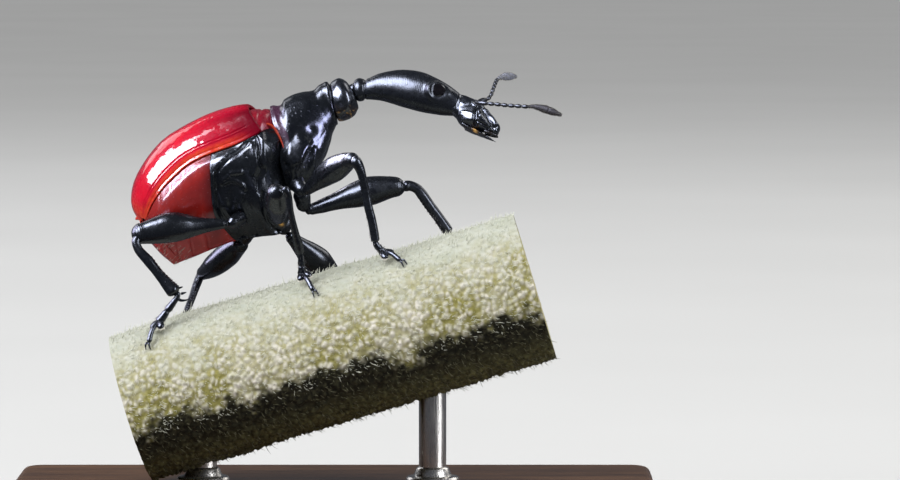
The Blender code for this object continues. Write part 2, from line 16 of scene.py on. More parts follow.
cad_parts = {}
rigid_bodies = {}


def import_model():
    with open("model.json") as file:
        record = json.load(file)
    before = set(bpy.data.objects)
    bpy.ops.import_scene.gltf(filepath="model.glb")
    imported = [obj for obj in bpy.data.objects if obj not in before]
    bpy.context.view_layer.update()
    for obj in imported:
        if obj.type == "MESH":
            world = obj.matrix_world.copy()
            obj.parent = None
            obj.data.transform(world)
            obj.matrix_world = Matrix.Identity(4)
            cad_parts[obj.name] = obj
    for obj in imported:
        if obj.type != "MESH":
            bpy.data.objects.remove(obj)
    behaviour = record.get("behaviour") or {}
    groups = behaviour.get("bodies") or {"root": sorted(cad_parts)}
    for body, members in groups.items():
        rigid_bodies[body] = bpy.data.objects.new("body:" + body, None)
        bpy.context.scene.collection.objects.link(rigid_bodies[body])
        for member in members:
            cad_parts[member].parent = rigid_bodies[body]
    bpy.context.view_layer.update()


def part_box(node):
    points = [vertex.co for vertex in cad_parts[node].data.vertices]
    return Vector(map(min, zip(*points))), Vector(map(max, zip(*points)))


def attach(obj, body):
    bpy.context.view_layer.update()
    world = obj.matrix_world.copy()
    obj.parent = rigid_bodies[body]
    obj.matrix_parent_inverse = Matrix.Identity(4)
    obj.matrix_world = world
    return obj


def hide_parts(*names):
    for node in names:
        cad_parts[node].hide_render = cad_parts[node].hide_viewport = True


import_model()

MM = 0.001
GAP = 0.05              # between neighbouring solids, as in the CAD

# stand and perch, as in the CAD
BASE_SIZE = (26.0, 14.0, 2.5)
BASE_MIDDLE_X = 1.3
ROD_RADIUS = 0.55
ROD_PLACES = (-3.9, 5.3)
STEM_RADIUS = 3.04
STEM_SLOPE = radians(16.9)
STEM_POINT = np.array((0.88, 0.0, 7.86))
STEM_ENDS = (-8.0, 8.9)
STEM_AXIS = np.array((cos(STEM_SLOPE), 0.0, sin(STEM_SLOPE)))
STEM_UP = np.array((-sin(STEM_SLOPE), 0.0, cos(STEM_SLOPE)))
RIGHT = np.array((0.0, -1.0, 0.0))
LEAN = radians(16.0)

# wing cases, along their own axis
CASE_ORIGIN = (-1.73, 18.0)
CASE_SLOPE = radians(43.8)
CASE_FRONT = 0.26
CASE_TIP = 6.82
CASE_HIGHEST = 4.06
CASE_HEIGHT = 1.58
CASE_HALF_WIDTH = 2.35
CASE_CORNER = 2.3       # exponent of the superellipse across them
CASE_THICKNESS = 0.12
TIP_SPREAD = 0.4

GRAIN = 0.006           # height of the tiny warts on the black plates


def lean_matrix():
    """The lean of the whole insect about the stem's axis."""
    pivot = Matrix.Translation(Vector(STEM_POINT))
    turn = Matrix.Rotation(-LEAN, 4, Vector(STEM_AXIS))
    return pivot @ turn @ pivot.inverted()


UPRIGHT = Matrix.Scale(MM, 4)
LEANING = Matrix.Scale(MM, 4) @ lean_matrix()


# ---- noise and curves ------------------------------------------------

def hashed(cells, seed):
    """A repeatable number from 0 to 1 for each whole-number place."""
    cells = cells.astype(np.int64)
    mixed = cells[..., 0] * 73856093 ^ cells[..., 1] * 19349663 ^ cells[..., 2] * 83492791
    mixed = (mixed ^ (seed * 50331653 + 12289)) & 0x7FFFFFFF
    mixed = ((mixed ^ (mixed >> 15)) * 739982445) & 0x7FFFFFFF
    mixed = ((mixed ^ (mixed >> 12)) * 695872825) & 0x7FFFFFFF
    return (mixed ^ (mixed >> 14)) % 65521 / 65521


def ripple(points, size, seed):
    """Smooth noise from -1 to 1 with features of that size, which may differ by axis."""
    spots = np.asarray(points) / size
    low = np.floor(spots)
    part = spots - low
    part = part * part * (3 - 2 * part)
    total = 0.0
    for corner in product((0, 1), repeat=3):
        weight = np.prod(np.where(corner, part, 1 - part), axis=-1)
        total = total + weight * hashed(low + corner, seed)
    return 2 * total - 1


def nearest(points, size, seed):
    """Distance, in cell sizes, to the nearest of a scatter of places, one to each cell."""
    spots = np.asarray(points) / size
    low = np.floor(spots)
    best = np.full(spots.shape[:-1], 9.0)
    for step in product((-1, 0, 1), repeat=3):
        cell = low + step
        centre = cell + np.stack([hashed(cell, seed + k) for k in (1, 2, 3)], axis=-1)
        best = np.minimum(best, np.linalg.norm(spots - centre, axis=-1))
    return best


def pits(points, size, seed, share=0.34):
    """From 0 on the plain surface to 1 at the middle of scattered punctures."""
    return np.exp(-(nearest(points, size, seed) / share) ** 4)


def waves(points, *rows):
    """Smooth noises on top of each other, each with its depth, size and seed."""
    return sum(depth * ripple(points, size, seed) for depth, size, seed in rows)


def bump_at(value, middle, width):
    """1 at the middle, falling away smoothly over a width to both sides."""
    return np.exp(-((np.asarray(value) - middle) / width) ** 2)


def step_between(value, low, high):
    """Rises smoothly from 0 at low to 1 at high."""
    share = np.clip((np.asarray(value) - low) / (high - low), 0.0, 1.0)
    return share * share * (3 - 2 * share)


def lengths_of(path):
    """The way from the start of a line of points to each of them."""
    return np.concatenate(([0], np.cumsum(np.linalg.norm(np.diff(path, axis=0), axis=1))))


def curve(rows, count, spacing=None):
    """Rows on Catmull-Rom curves through the given ones, evenly spaced unless told otherwise."""
    rows = np.array(rows, float)
    held = np.vstack((2 * rows[0] - rows[1], rows, 2 * rows[-1] - rows[-2]))

    def at(t):
        i = np.clip(t.astype(int), 0, len(rows) - 2)
        s = (t - i)[:, None]
        a, b, c, d = held[i], held[i + 1], held[i + 2], held[i + 3]
        return 0.5 * (2 * b + (c - a) * s + (2 * a - 5 * b + 4 * c - d) * s ** 2
                      + (3 * b - a - 3 * c + d) * s ** 3)

    t = np.linspace(0, len(rows) - 1, 24 * len(rows))
    dense = at(t)
    length = lengths_of(dense)
    share = np.linspace(0, 1, count) if spacing is None else spacing
    return at(np.interp(share * length[-1], length, t))


def end_steps(count, crowd=0.6):
    """Shares from 0 to 1 that crowd towards both ends."""
    even = np.linspace(0, 1, count)
    return (1 - crowd) * even + crowd * (0.5 - 0.5 * np.cos(pi * even))


def unit(vectors):
    """The vectors at length 1."""
    return vectors / (np.linalg.norm(vectors, axis=-1, keepdims=True) + 1e-12)


# ---- grids of points -------------------------------------------------

def outward(layers, closed=True, inside=None):
    """The outward direction at each point of a grid."""
    along = np.gradient(layers, axis=0)
    if closed:
        across = (np.roll(layers, -1, 1) - np.roll(layers, 1, 1)) / 2
    else:
        across = np.gradient(layers, axis=1)
    normal = unit(np.cross(along, across))
    centre = layers.mean(axis=1, keepdims=True) if inside is None else np.array(inside)
    return normal * np.sign(np.sum(normal * (layers - centre)))


def flank_of(layers, gain=1.6):
    """1 where the grid faces sideways, 0 where it faces up, down, ahead or back."""
    return np.clip(abs(outward(layers)[..., 1]) * gain, 0, 1)


def swell(layers, amount, closed=True, inside=None):
    """The grid with each point moved outwards by an amount in millimetres."""
    return layers + outward(layers, closed, inside) * np.asarray(amount)[..., None]


def dome(layers, depth, steps, start=False):
    """The grid with a rounded end: its last ring (or first) shrinks as it moves outwards."""
    rings = layers[::-1] if start else layers
    last = rings[-1]
    middle = last.mean(axis=0)
    way = middle - rings[-2].mean(axis=0)
    way = way / np.linalg.norm(way)
    more = []
    for step in range(1, steps + 1):
        turn = pi / 2 * step / steps
        more.append(middle + (last - middle) * max(cos(turn), 0.02) + way * depth * sin(turn))
    rings = np.concatenate((rings, more))
    return rings[::-1] if start else rings


def barrel(stations, rows, sides, widest=0.5, corner=2.0):
    """Rings across the middle plane over stations of top x, top z, bottom x, bottom z and
    half-width; the last two ends stay open."""
    rows = curve(stations, rows)
    top, bottom, half_width = rows[:, None, 0:2], rows[:, None, 2:4], rows[:, 4]
    middle = top + (bottom - top) * widest
    angle = 2 * pi * (np.arange(sides) + 0.5) / sides
    rise = np.sign(np.cos(angle)) * abs(np.cos(angle)) ** (2 / corner)
    reach = np.sign(np.sin(angle)) * abs(np.sin(angle)) ** (2 / corner)
    away = np.where((rise > 0)[None, :, None], top - middle, middle - bottom) * rise[None, :, None]
    flat = middle + away
    return np.stack((flat[..., 0], half_width[:, None] * reach, flat[..., 1]), axis=-1)


def beside(points, line):
    """Distance from each point, seen from the side, to a smooth line of (x, z) places."""
    line = curve(line, 8 * len(line)) if len(line) > 2 else np.array(line, float)
    spots = points[..., [0, 2]]
    best = np.full(spots.shape[:-1], 9.0)
    for a, b in zip(line, line[1:]):
        way = b - a
        share = np.clip(((spots - a) @ way) / (way @ way), 0, 1)
        best = np.minimum(best, np.linalg.norm(spots - a - share[..., None] * way, axis=-1))
    return best


def lines_on(points, *lines):
    """Heights of soft ridges (depth above 0) and furrows along lines seen from the side."""
    return sum(depth * np.exp(-(beside(points, line) / width) ** 2) for depth, width, line in lines)


def roof_on(points, height, width, line):
    """A ridge of two straight slopes along a line seen from the side."""
    return height * np.maximum(1 - beside(points, line) / width, 0)


def lump(points, x, z, reach_x, reach_z, turn=0.0):
    """A soft oval swelling seen from the side, turned by an angle."""
    dx, dz = points[..., 0] - x, points[..., 2] - z
    a = dx * cos(turn) + dz * sin(turn)
    b = dz * cos(turn) - dx * sin(turn)
    return np.exp(-(a / reach_x) ** 2 - (b / reach_z) ** 2)


def facet(points, x, z, reach, rear, front, turn):
    """A ridge seen from the side: a broad slope that faces backwards and a steep one ahead."""
    dx, dz = points[..., 0] - x, points[..., 2] - z
    across = dx * cos(turn) + dz * sin(turn)
    length = dz * cos(turn) - dx * sin(turn)
    slope = np.clip((across + rear) / (rear + front), 0, 1)
    slope = slope * (1 - step_between(across, front - 0.02, front + 0.26))
    return slope * np.exp(-(length / reach) ** 4)


def tube(path, radii, sides, up, flat=1.0):
    """Rings round a path; flat squeezes them along the up direction."""
    path = np.asarray(path, float)
    way = unit(np.gradient(path, axis=0))
    side = unit(np.cross(way, np.asarray(up, float)))
    lift = np.cross(side, way)
    angle = 2 * pi * np.arange(sides) / sides
    ring = (np.cos(angle)[None, :, None] * side[:, None]
            + np.sin(angle)[None, :, None] * lift[:, None] * flat)
    return path[:, None] + np.asarray(radii)[:, None, None] * ring


def rounded(path, radii, caps):
    """The radii with round ends worked into them."""
    length = lengths_of(path)
    radii = np.array(radii, float)
    ends = ((caps[0], radii[0], length), (caps[1], radii[-1], length[-1] - length))
    for cap, radius, distance in ends:
        if cap:
            to_end = np.clip(distance / (radius * cap), 0, 1)
            radii = radii * np.sqrt(np.clip(1 - (1 - to_end) ** 2, 0.0004, 1))
    return radii


def limb(points, profile, rows, sides, up, caps=(1.0, 1.0), flat=1.0):
    """A tube with rounded ends along a smooth line; profile(t) is its radius from 0 to 1."""
    path = curve(points, rows, end_steps(rows))
    length = lengths_of(path)
    radii = profile(length / length[-1]) * np.ones(rows)
    return tube(path, rounded(path, radii, caps), sides, up, flat)


def member(stations, rows, sides, up, caps):
    """A tube with rounded ends through stations of x, y, z and half-width."""
    line = curve(stations, rows, end_steps(rows))
    return tube(line[:, :3], rounded(line[:, :3], line[:, 3], caps), sides, up)


class Shape:
    """Points and faces that become one piece, with a value or two kept at each point."""

    def __init__(self):
        self.blocks = []
        self.faces = []
        self.slots = []
        self.values = []
        self.count = 0

    def grid(self, layers, closed=True, ends=(True, True), slot=0, **values):
        layers = np.asarray(layers, float)
        rows, sides = layers.shape[:2]
        index = np.arange(rows * sides).reshape(rows, sides) + self.count
        wrap = np.hstack((index, index[:, :1])) if closed else index
        quads = np.stack((wrap[:-1, :-1], wrap[1:, :-1], wrap[1:, 1:], wrap[:-1, 1:]), axis=-1)
        faces = quads.reshape(-1, 4).tolist()
        if closed and ends[0]:
            faces.append(index[0].tolist())
        if closed and ends[1]:
            faces.append(index[-1].tolist())
        self.faces += faces
        self.slots += [slot] * len(faces)
        self.blocks.append(layers.reshape(-1, 3))
        full = {name: np.broadcast_to(value, (rows, sides)).ravel() for name, value in values.items()}
        self.values.append((rows * sides, full))
        self.count += rows * sides
        return self

    def piece(self, name, materials, slot, nodes, matrix=LEANING):
        """The finished piece, which rides on the one body and stands for its CAD nodes."""
        mesh = bpy.data.meshes.new(name)
        mesh.from_pydata(np.concatenate(self.blocks).tolist(), [], self.faces)
        for made in materials:
            mesh.materials.append(made)
        mesh.polygons.foreach_set("material_index", self.slots)
        for key in sorted({key for _, full in self.values for key in full}):
            data = [full.get(key, np.zeros(size)) for size, full in self.values]
            attribute = mesh.attributes.new(key, "FLOAT", "POINT")
            attribute.data.foreach_set("value", np.concatenate(data).astype(np.float32))
        work = bmesh.new()
        work.from_mesh(mesh)
        bmesh.ops.recalc_face_normals(work, faces=work.faces)
        work.to_mesh(mesh)
        work.free()
        mesh.transform(matrix)
        mesh.shade_smooth()
        return keep(name, mesh, nodes)


def keep(name, mesh, nodes):
    """The mesh as a piece of the model."""
    made = bpy.data.objects.new(name, mesh)
    bpy.context.scene.collection.objects.link(made)
    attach(made, "root")
    if nodes:
        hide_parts(*nodes)
    return made


def rolled(layers, radius, inside, steps):
    """The open grid with its first row carried on in a curl inwards."""
    angle = 1.5
    normal = outward(layers, closed=False, inside=inside)[0]
    ahead = unit(layers[0] - layers[1])
    turns = np.linspace(angle, angle / steps, steps)[:, None, None]
    curl = layers[0] + radius * (ahead * np.sin(turns) - normal * (1 - np.cos(turns)))
    return np.concatenate((curl, layers))


def thick_sheet(shape, layers, thickness, inside, **values):
    """An open grid made a closed plate, with rounded edges, inside its outer surface."""
    normal = outward(layers, closed=False, inside=inside)
    inner = layers - normal * thickness
    out_rows = unit(layers[-1] - layers[-2])
    in_rows = unit(layers[0] - layers[1])
    middle = layers - normal * thickness / 2
    bulge = 0.45 * thickness
    first = middle[0] + in_rows * bulge
    last = middle[-1] + out_rows * bulge
    column = np.concatenate((layers, last[None], inner[::-1], first[None]))
    near = unit(column[:, 0] - column[:, 1]) * bulge
    far = unit(column[:, -1] - column[:, -2]) * bulge
    rows = len(layers)
    values = {name: np.broadcast_to(value, layers.shape[:2]) for name, value in values.items()}
    ring_values = {name: np.concatenate((value, value[-1:], value[::-1], value[:1])).T
                   for name, value in values.items()}
    shape.grid(np.transpose(column, (1, 0, 2)), ends=(False, False), **ring_values)
    # the two side edges: a strip from the outer to the inner surface by way of a bulge
    for edge, push, line in ((0, near, column[:, 0]), (-1, far, column[:, -1])):
        outer = line[:rows]
        back = line[rows + 1:-1][::-1]
        between = (outer + back) / 2 + push[:rows]
        tone = {name: np.stack((value[:, edge],) * 3) for name, value in values.items()}
        shape.grid(np.stack((outer, between, back)), closed=False, **tone)


# ---- materials -------------------------------------------------------

class Look:
    """A procedural material: a Principled surface and what feeds it."""

    def __init__(self, name, **constants):
        self.material = bpy.data.materials.new(name)
        self.material.use_nodes = True
        self.tree = self.material.node_tree
        self.surface = self.tree.nodes["Principled BSDF"]
        for socket, value in constants.items():
            self.surface.inputs[socket.replace("_", " ")].default_value = value
        self.place = self.node("ShaderNodeTexCoord").outputs["Object"]

    def node(self, kind, **settings):
        made = self.tree.nodes.new(kind)
        for key, value in settings.items():
            setattr(made, key, value)
        return made

    def set(self, socket, value):
        """A socket gets a value or a link."""
        if isinstance(value, bpy.types.NodeSocket):
            self.tree.links.new(value, socket)
        else:
            socket.default_value = value

    def stretched(self, x, y, z):
        mapping = self.node("ShaderNodeMapping")
        self.set(mapping.inputs["Vector"], self.place)
        mapping.inputs["Scale"].default_value = (1 / x, 1 / y, 1 / z)
        return mapping.outputs["Vector"]

    def noise(self, size, detail=3.0, rough=0.5, place=None):
        made = self.node("ShaderNodeTexNoise")
        self.set(made.inputs["Vector"], place or self.place)
        made.inputs["Scale"].default_value = 1 / (size * MM)
        made.inputs["Detail"].default_value = detail
        made.inputs["Roughness"].default_value = rough
        return made.outputs["Fac"]

    def cells(self, size):
        made = self.node("ShaderNodeTexVoronoi")
        self.set(made.inputs["Vector"], self.place)
        made.inputs["Scale"].default_value = 1 / (size * MM)
        return made.outputs["Distance"]

    def value(self, name):
        return self.node("ShaderNodeAttribute", attribute_name=name).outputs["Fac"]

    def spread(self, factor, low, high, to_low=0.0, to_high=1.0):
        """A factor's range from low to high becomes another range, held at its ends."""
        made = self.node("ShaderNodeMapRange", clamp=True)
        for key, value in (("Value", factor), ("From Min", low), ("From Max", high),
                           ("To Min", to_low), ("To Max", to_high)):
            self.set(made.inputs[key], value)
        return made.outputs["Result"]

    def mix(self, factor, first, second):
        made = self.node("ShaderNodeMix", data_type="RGBA")
        self.set(made.inputs["Factor"], factor)
        for key, colour in (("A", first), ("B", second)):
            socket = next(s for s in made.inputs if s.name == key and s.type == "RGBA")
            self.set(socket, colour if isinstance(colour, bpy.types.NodeSocket) else (*colour, 1.0))
        return next(s for s in made.outputs if s.type == "RGBA")

    def blend(self, noise, first, second, low=0.3, high=0.7):
        """Two colours mottled by a noise; the first is where it is low."""
        return self.mix(self.spread(noise, low, high), first, second)

    def colour(self, value):
        self.set(self.surface.inputs["Base Color"], value)

    def roughness(self, factor, low, high):
        self.set(self.surface.inputs["Roughness"], self.spread(factor, 0.3, 0.7, low, high))

    def relief(self, *heights):
        """Bumps: pairs of a height from 0 to 1 and its full depth in millimetres."""
        normal = None
        for height, depth in heights:
            made = self.node("ShaderNodeBump")
            made.inputs["Distance"].default_value = depth * MM
            self.set(made.inputs["Height"], height)
            if normal:
                self.set(made.inputs["Normal"], normal)
            normal = made.outputs["Normal"]
        self.set(self.surface.inputs["Normal"], normal)


def elytra_look():
    """Glossy crimson, darker ahead and below with painted shade, with an orange margin."""
    look = Look("wing_case_red", Coat_Weight=0.8, Coat_Roughness=0.05, Coat_IOR=1.5,
                Specular_IOR_Level=0.04, Specular_Tint=(1.0, 0.86, 1.0, 1.0))
    red = look.blend(look.noise(0.9), (0.42, 0.002, 0.024), (0.56, 0.005, 0.022))
    # painted shade: the red darkens ahead and below, where less light falls
    dark = look.mix(look.value("shade"), red, (0.105, 0.001, 0.008))
    warm = look.blend(look.noise(0.2), (0.56, 0.055, 0.014), (0.44, 0.022, 0.012), 0.35, 0.65)
    look.colour(look.mix(look.value("edge"), dark, warm))
    look.roughness(look.noise(0.12, 4.0), 0.22, 0.34)
    coat = look.spread(look.value("shade"), 0.10, 0.60, 0.8, 0.05)
    look.set(look.surface.inputs["Coat Weight"], coat)
    look.relief((look.noise(0.06, 3.0, 0.7), 0.0045), (look.cells(0.05), 0.0014))
    return look.material


def abdomen_look():
    look = Look("abdomen_red", Specular_IOR_Level=0.8, Specular_Tint=(0.86, 0.82, 1.0, 1.0))
    red = look.blend(look.noise(0.5, 4.0), (0.21, 0.007, 0.005), (0.29, 0.014, 0.009))
    # painted shade: the red darkens next to the thorax
    look.colour(look.mix(look.value("shade"), red, (0.06, 0.003, 0.003)))
    look.roughness(look.noise(0.1, 4.0), 0.17, 0.28)
    look.relief((look.noise(0.05), 0.003), (look.noise(0.3), 0.002))
    return look.material


def waist_look():
    look = Look("waist_red", Specular_IOR_Level=0.25, Specular_Tint=(1.0, 0.8, 0.95, 1.0),
                Coat_Weight=0.10, Coat_Roughness=0.1)
    red = look.blend(look.noise(0.3, 4.0), (0.14, 0.003, 0.014), (0.23, 0.008, 0.018))
    look.colour(look.mix(look.value("edge"), red, (0.34, 0.035, 0.014)))
    look.roughness(look.noise(0.1, 4.0), 0.2, 0.4)
    look.relief((look.noise(0.07), 0.006), (look.cells(0.09), 0.004))
    return look.material


def black_look(name, grain, low, high, level):
    """Near-black cuticle with a bluish gloss, finely pitted and reticulate."""
    look = Look(name, Specular_IOR_Level=level, Specular_Tint=(0.78, 0.84, 1.0, 1.0), IOR=1.5)
    dark = look.blend(look.noise(0.6, 4.0), (0.0025, 0.0032, 0.0050), (0.005, 0.006, 0.0075),
                      0.35, 0.65)
    tone = look.mix(look.value("brown"), dark, (0.034, 0.019, 0.008))
    tone = look.mix(look.value("plum"), tone, (0.048, 0.016, 0.036))
    # a golden colour; on the collar it paints glints
    look.colour(look.mix(look.value("gold"), tone, (0.55, 0.30, 0.07)))
    look.roughness(look.noise(0.16, 4.0), low, high)
    warts = look.spread(look.cells(0.24), 0.05, 0.16, 1.0, 0.0)
    look.relief((look.noise(0.05), 0.003 * grain), (warts, 0.012 * grain ** 2),
                (look.noise(0.35), 0.006 * grain))
    return look.material


def club_look():
    """The feeler's velvety club; the left one is paler, a painted highlight."""
    look = Look("club_velvet", Specular_IOR_Level=0.2, Specular_Tint=(0.85, 0.88, 1.0, 1.0))
    grain = look.noise(0.07, 3.0, 0.6)
    dark = look.blend(grain, (0.006, 0.004, 0.006), (0.017, 0.012, 0.012))
    # painted highlight: the paler lavender-grey colour given to the left club
    pale = look.blend(grain, (0.10, 0.11, 0.15), (0.26, 0.27, 0.33))
    look.colour(look.mix(look.value("pale"), dark, pale))
    look.roughness(grain, 0.50, 0.65)
    look.relief((grain, 0.010))
    return look.material


def eye_look():
    look = Look("eye_black", Specular_IOR_Level=0.5, Specular_Tint=(0.85, 0.88, 1.0, 1.0))
    look.colour(look.blend(look.noise(0.2, 2.0), (0.002, 0.002, 0.003), (0.005, 0.004, 0.005)))
    rough = look.spread(look.value("rim"), 0.0, 1.0, 0.16, 0.08)
    look.set(look.surface.inputs["Roughness"], rough)
    look.relief((look.cells(0.022), 0.0012))
    return look.material


def hair_look(name, root, tip):
    look = Look(name, Specular_IOR_Level=0.4, Roughness=0.5)
    tone = look.mix(look.value("tip"), root, tip)
    look.colour(look.mix(look.spread(look.noise(0.3, 2.0), 0.3, 0.7, 0.0, 0.35), tone, root))
    look.relief((look.noise(0.02, 1.0), 0.0008))
    return look.material


def stem_look():
    """Pale grey-green bark with whitish swellings over olive, brown-black underneath with dirt and
    painted shade.
    """
    look = Look("stem_bark", Specular_IOR_Level=0.35)
    grain = look.noise(0.12, 4.0, 0.6)
    green = look.blend(look.noise(0.9, 4.0), (0.40, 0.42, 0.355), (0.48, 0.49, 0.43))
    rosy = look.blend(look.noise(0.35), (0.45, 0.435, 0.32), (0.61, 0.575, 0.51), 0.35, 0.65)
    pale = look.mix(look.value("rosy"), green, rosy)
    olive = look.blend(grain, (0.17, 0.155, 0.038), (0.31, 0.285, 0.095))
    skin = look.mix(look.value("hollow"), pale, olive)
    brown = look.blend(look.noise(0.25, 5.0, 0.7), (0.040, 0.038, 0.014), (0.170, 0.160, 0.062),
                       0.40, 0.68)
    black = look.blend(look.noise(0.2, 5.0, 0.7), (0.008, 0.0075, 0.004), (0.050, 0.046, 0.022),
                       0.45, 0.75)
    dark = look.mix(look.value("deep"), brown, black)
    # the dark underside, dirt and painted shade, over the pale skin
    look.colour(look.mix(look.value("soot"), skin, dark))
    look.roughness(grain, 0.62, 0.85)
    look.relief((grain, 0.03), (look.noise(0.05, 2.0), 0.012))
    return look.material


def cut_look():
    """The stem's cut ends: cream pith, a greenish ring of wood and its rind."""
    look = Look("stem_cut", Specular_IOR_Level=0.3)
    ring = look.value("ring")
    fibre = look.noise(0.09, 4.0, 0.7)
    pith = look.blend(fibre, (0.42, 0.36, 0.22), (0.62, 0.56, 0.40))
    wood = look.blend(fibre, (0.34, 0.32, 0.13), (0.50, 0.47, 0.26))
    rind = look.blend(fibre, (0.10, 0.085, 0.03), (0.19, 0.16, 0.07))
    tone = look.mix(look.spread(ring, 0.45, 0.58), pith, wood)
    look.colour(look.mix(look.spread(ring, 0.86, 0.94), tone, rind))
    look.roughness(fibre, 0.7, 0.9)
    look.relief((fibre, 0.05))
    return look.material


def wood_look():
    look = Look("stand_walnut", Specular_IOR_Level=0.4, Coat_Weight=0.25, Coat_Roughness=0.3)
    figure = look.noise(1.6, 5.0, 0.6, look.stretched(9.0, 1.0, 1.0))
    pores = look.noise(0.16, 3.0, 0.7, look.stretched(14.0, 1.0, 1.0))
    tone = look.blend(figure, (0.050, 0.022, 0.010), (0.15, 0.075, 0.036), 0.32, 0.68)
    look.colour(look.mix(look.spread(pores, 0.50, 0.72, 0.0, 0.75), tone, (0.020, 0.009, 0.005)))
    look.roughness(figure, 0.34, 0.5)
    look.relief((pores, 0.03))
    return look.material


def metal_look():
    look = Look("stand_steel", Metallic=1.0)
    brushed = look.noise(0.05, 3.0, 0.6, look.stretched(1.0, 1.0, 30.0))
    look.colour(look.blend(brushed, (0.50, 0.48, 0.45), (0.66, 0.64, 0.60)))
    look.roughness(brushed, 0.2, 0.36)
    look.relief((brushed, 0.006))
    return look.material


# ---- wing cases ------------------------------------------------------

def case_point(along, side, below):
    """Places given along the wing cases' axis, to the left of it and on its belly side."""
    x = CASE_ORIGIN[0] - along * cos(CASE_SLOPE) + below * sin(CASE_SLOPE)
    z = CASE_ORIGIN[1] - along * sin(CASE_SLOPE) - below * cos(CASE_SLOPE)
    return np.stack(np.broadcast_arrays(x, side, z), axis=-1)


def ridge(along, inset=0.0):
    """How far below the axis (negative, so above it) the cases' back line runs."""
    along = np.asarray(along, float)
    before = along < CASE_HIGHEST
    span = np.where(before, CASE_HIGHEST - CASE_FRONT, CASE_TIP - CASE_HIGHEST) - inset
    share = np.clip(abs(along - CASE_HIGHEST) / span, 0, 1)
    shape = np.where(before, (1 - share ** 1.6) ** 0.66, (1 - share ** 2) ** 0.5)
    return -(CASE_HEIGHT - inset) * shape


def margin(along):
    """How far below the axis the cases' lower edge runs."""
    along = np.asarray(along, float)
    front = 0.29 + 0.46 * (1 + np.cos(pi * np.maximum(along - 0.9, 0) / 3.5))
    back = 0.29 + 0.32 * np.maximum((along - 5.0) / 1.9, 0) ** 2
    return np.where(along < 4.4, front, back)


def case_width(along):
    """Half the width of both cases together."""
    shoulder = 1 - 0.26 * np.maximum(1 - along / 3.9, 0) ** 1.5
    rounding = (1 - np.clip((along - 4.2) / 2.9, 0, 1) ** 2.6) ** 0.5
    return CASE_HALF_WIDTH * shoulder * rounding


def even_quarter(count, reach, drop):
    """Shares of a quarter superellipse's angle that give even steps along its outline."""
    angle = np.linspace(0, pi / 2, 2000)
    outline = np.stack((reach * np.sin(angle) ** (2 / CASE_CORNER),
                        -drop * np.cos(angle) ** (2 / CASE_CORNER)), axis=-1)
    length = lengths_of(outline)
    return np.interp(np.linspace(0, length[-1], count), length, angle) / (pi / 2)


CASE_GRID = (190, 110)  # points along and across
CASE_CURL = 9           # rows of the curl at the front edge
# furrows and ridges along each flank: depth, place from the crest (0) to the margin (1), width
CASE_BANDS = ((-0.035, 0.755, 0.014), (0.026, 0.785, 0.014), (-0.020, 0.93, 0.015),
              (0.030, 0.985, 0.02))


def add_elytron(side, word, red):
    rows, columns = CASE_GRID
    u = end_steps(rows, 0.35)[:, None]
    v = even_quarter(columns, 2.3, 2.6)[None, :]
    front = CASE_FRONT + 0.10 + 0.62 * v
    tip = CASE_TIP + 0.10 - 0.62 * np.maximum(v - 0.45, 0) ** 1.6 - 0.4 * np.maximum(0.2 - v, 0)
    along = front + (tip - front) * u
    inner = GAP / 2 + TIP_SPREAD * np.maximum((u - 0.86) / 0.14, 0) ** 2
    width = np.maximum(case_width(along), 0.9)
    reach = inner + (width - inner) * np.sin(v * pi / 2) ** (2 / CASE_CORNER)
    crest = ridge(np.minimum(along, CASE_TIP))
    edge = margin(along)
    height = np.cos(v * pi / 2) ** (2 / CASE_CORNER)
    layers = case_point(along, side * reach, edge - (edge - crest) * height)
    inside = case_point(3.5, side * 0.4, 0.6)
    drop = 1 - height
    body = step_between(u, 0.02, 0.12) * (1 - step_between(u, 0.9, 0.99))
    relief = sum(depth * bump_at(drop, place, wide) for depth, place, wide in CASE_BANDS)
    relief = (relief - 0.030 * bump_at(reach, 0.0, 0.05)) * body
    relief = relief + waves(layers, (0.018, 1.1, 3), (0.008, 0.45, 5), (0.0035, 0.14, 6))
    rows_of_pits = np.sin(reach / 0.21 * pi * 2) ** 2
    relief = relief - 0.004 * pits(layers, 0.10, 7) * (0.4 + 0.6 * rows_of_pits)
    layers = swell(layers, relief, closed=False, inside=inside)
    rim = (np.maximum(step_between(drop, 0.80, 0.90), step_between(u, 0.90, 1.0))
           * step_between(along, 1.2, 2.6))
    # painted shade: darker over the front below the crest, and all over the foremost part
    low_front = (1 - step_between(along, 0.6, 3.4)) * step_between(drop, 0.10, 0.45)
    shade = np.maximum(low_front, 0.8 * (1 - step_between(along, 0.4, 1.5)))
    layers = rolled(layers, 0.15, inside, CASE_CURL)
    rim = np.concatenate((np.repeat(rim[:1], CASE_CURL, 0), rim))
    shade = np.concatenate((np.repeat(shade[:1], CASE_CURL, 0), shade))
    shape = Shape()
    thick_sheet(shape, layers, CASE_THICKNESS, inside, edge=0.85 * rim, shade=shade)
    shape.piece(f"elytron_{word}_shell", [red], "elytra_shell", [f"elytron_{word}"])


# ---- abdomen and rear thorax -----------------------------------------

TRUNK_STATIONS = (
    # along, depth of the belly line, half-width
    (0.45, 1.60, 1.30), (1.00, 2.70, 1.80), (1.70, 3.55, 2.00), (2.50, 4.40, 2.05),
    (3.10, 4.45, 2.05), (3.80, 3.95, 2.05), (4.60, 3.40, 2.05), (5.50, 3.00, 2.00),
    (6.20, 2.73, 1.85), (6.70, 2.52, 1.55), (7.04, 2.39, 1.10),
)
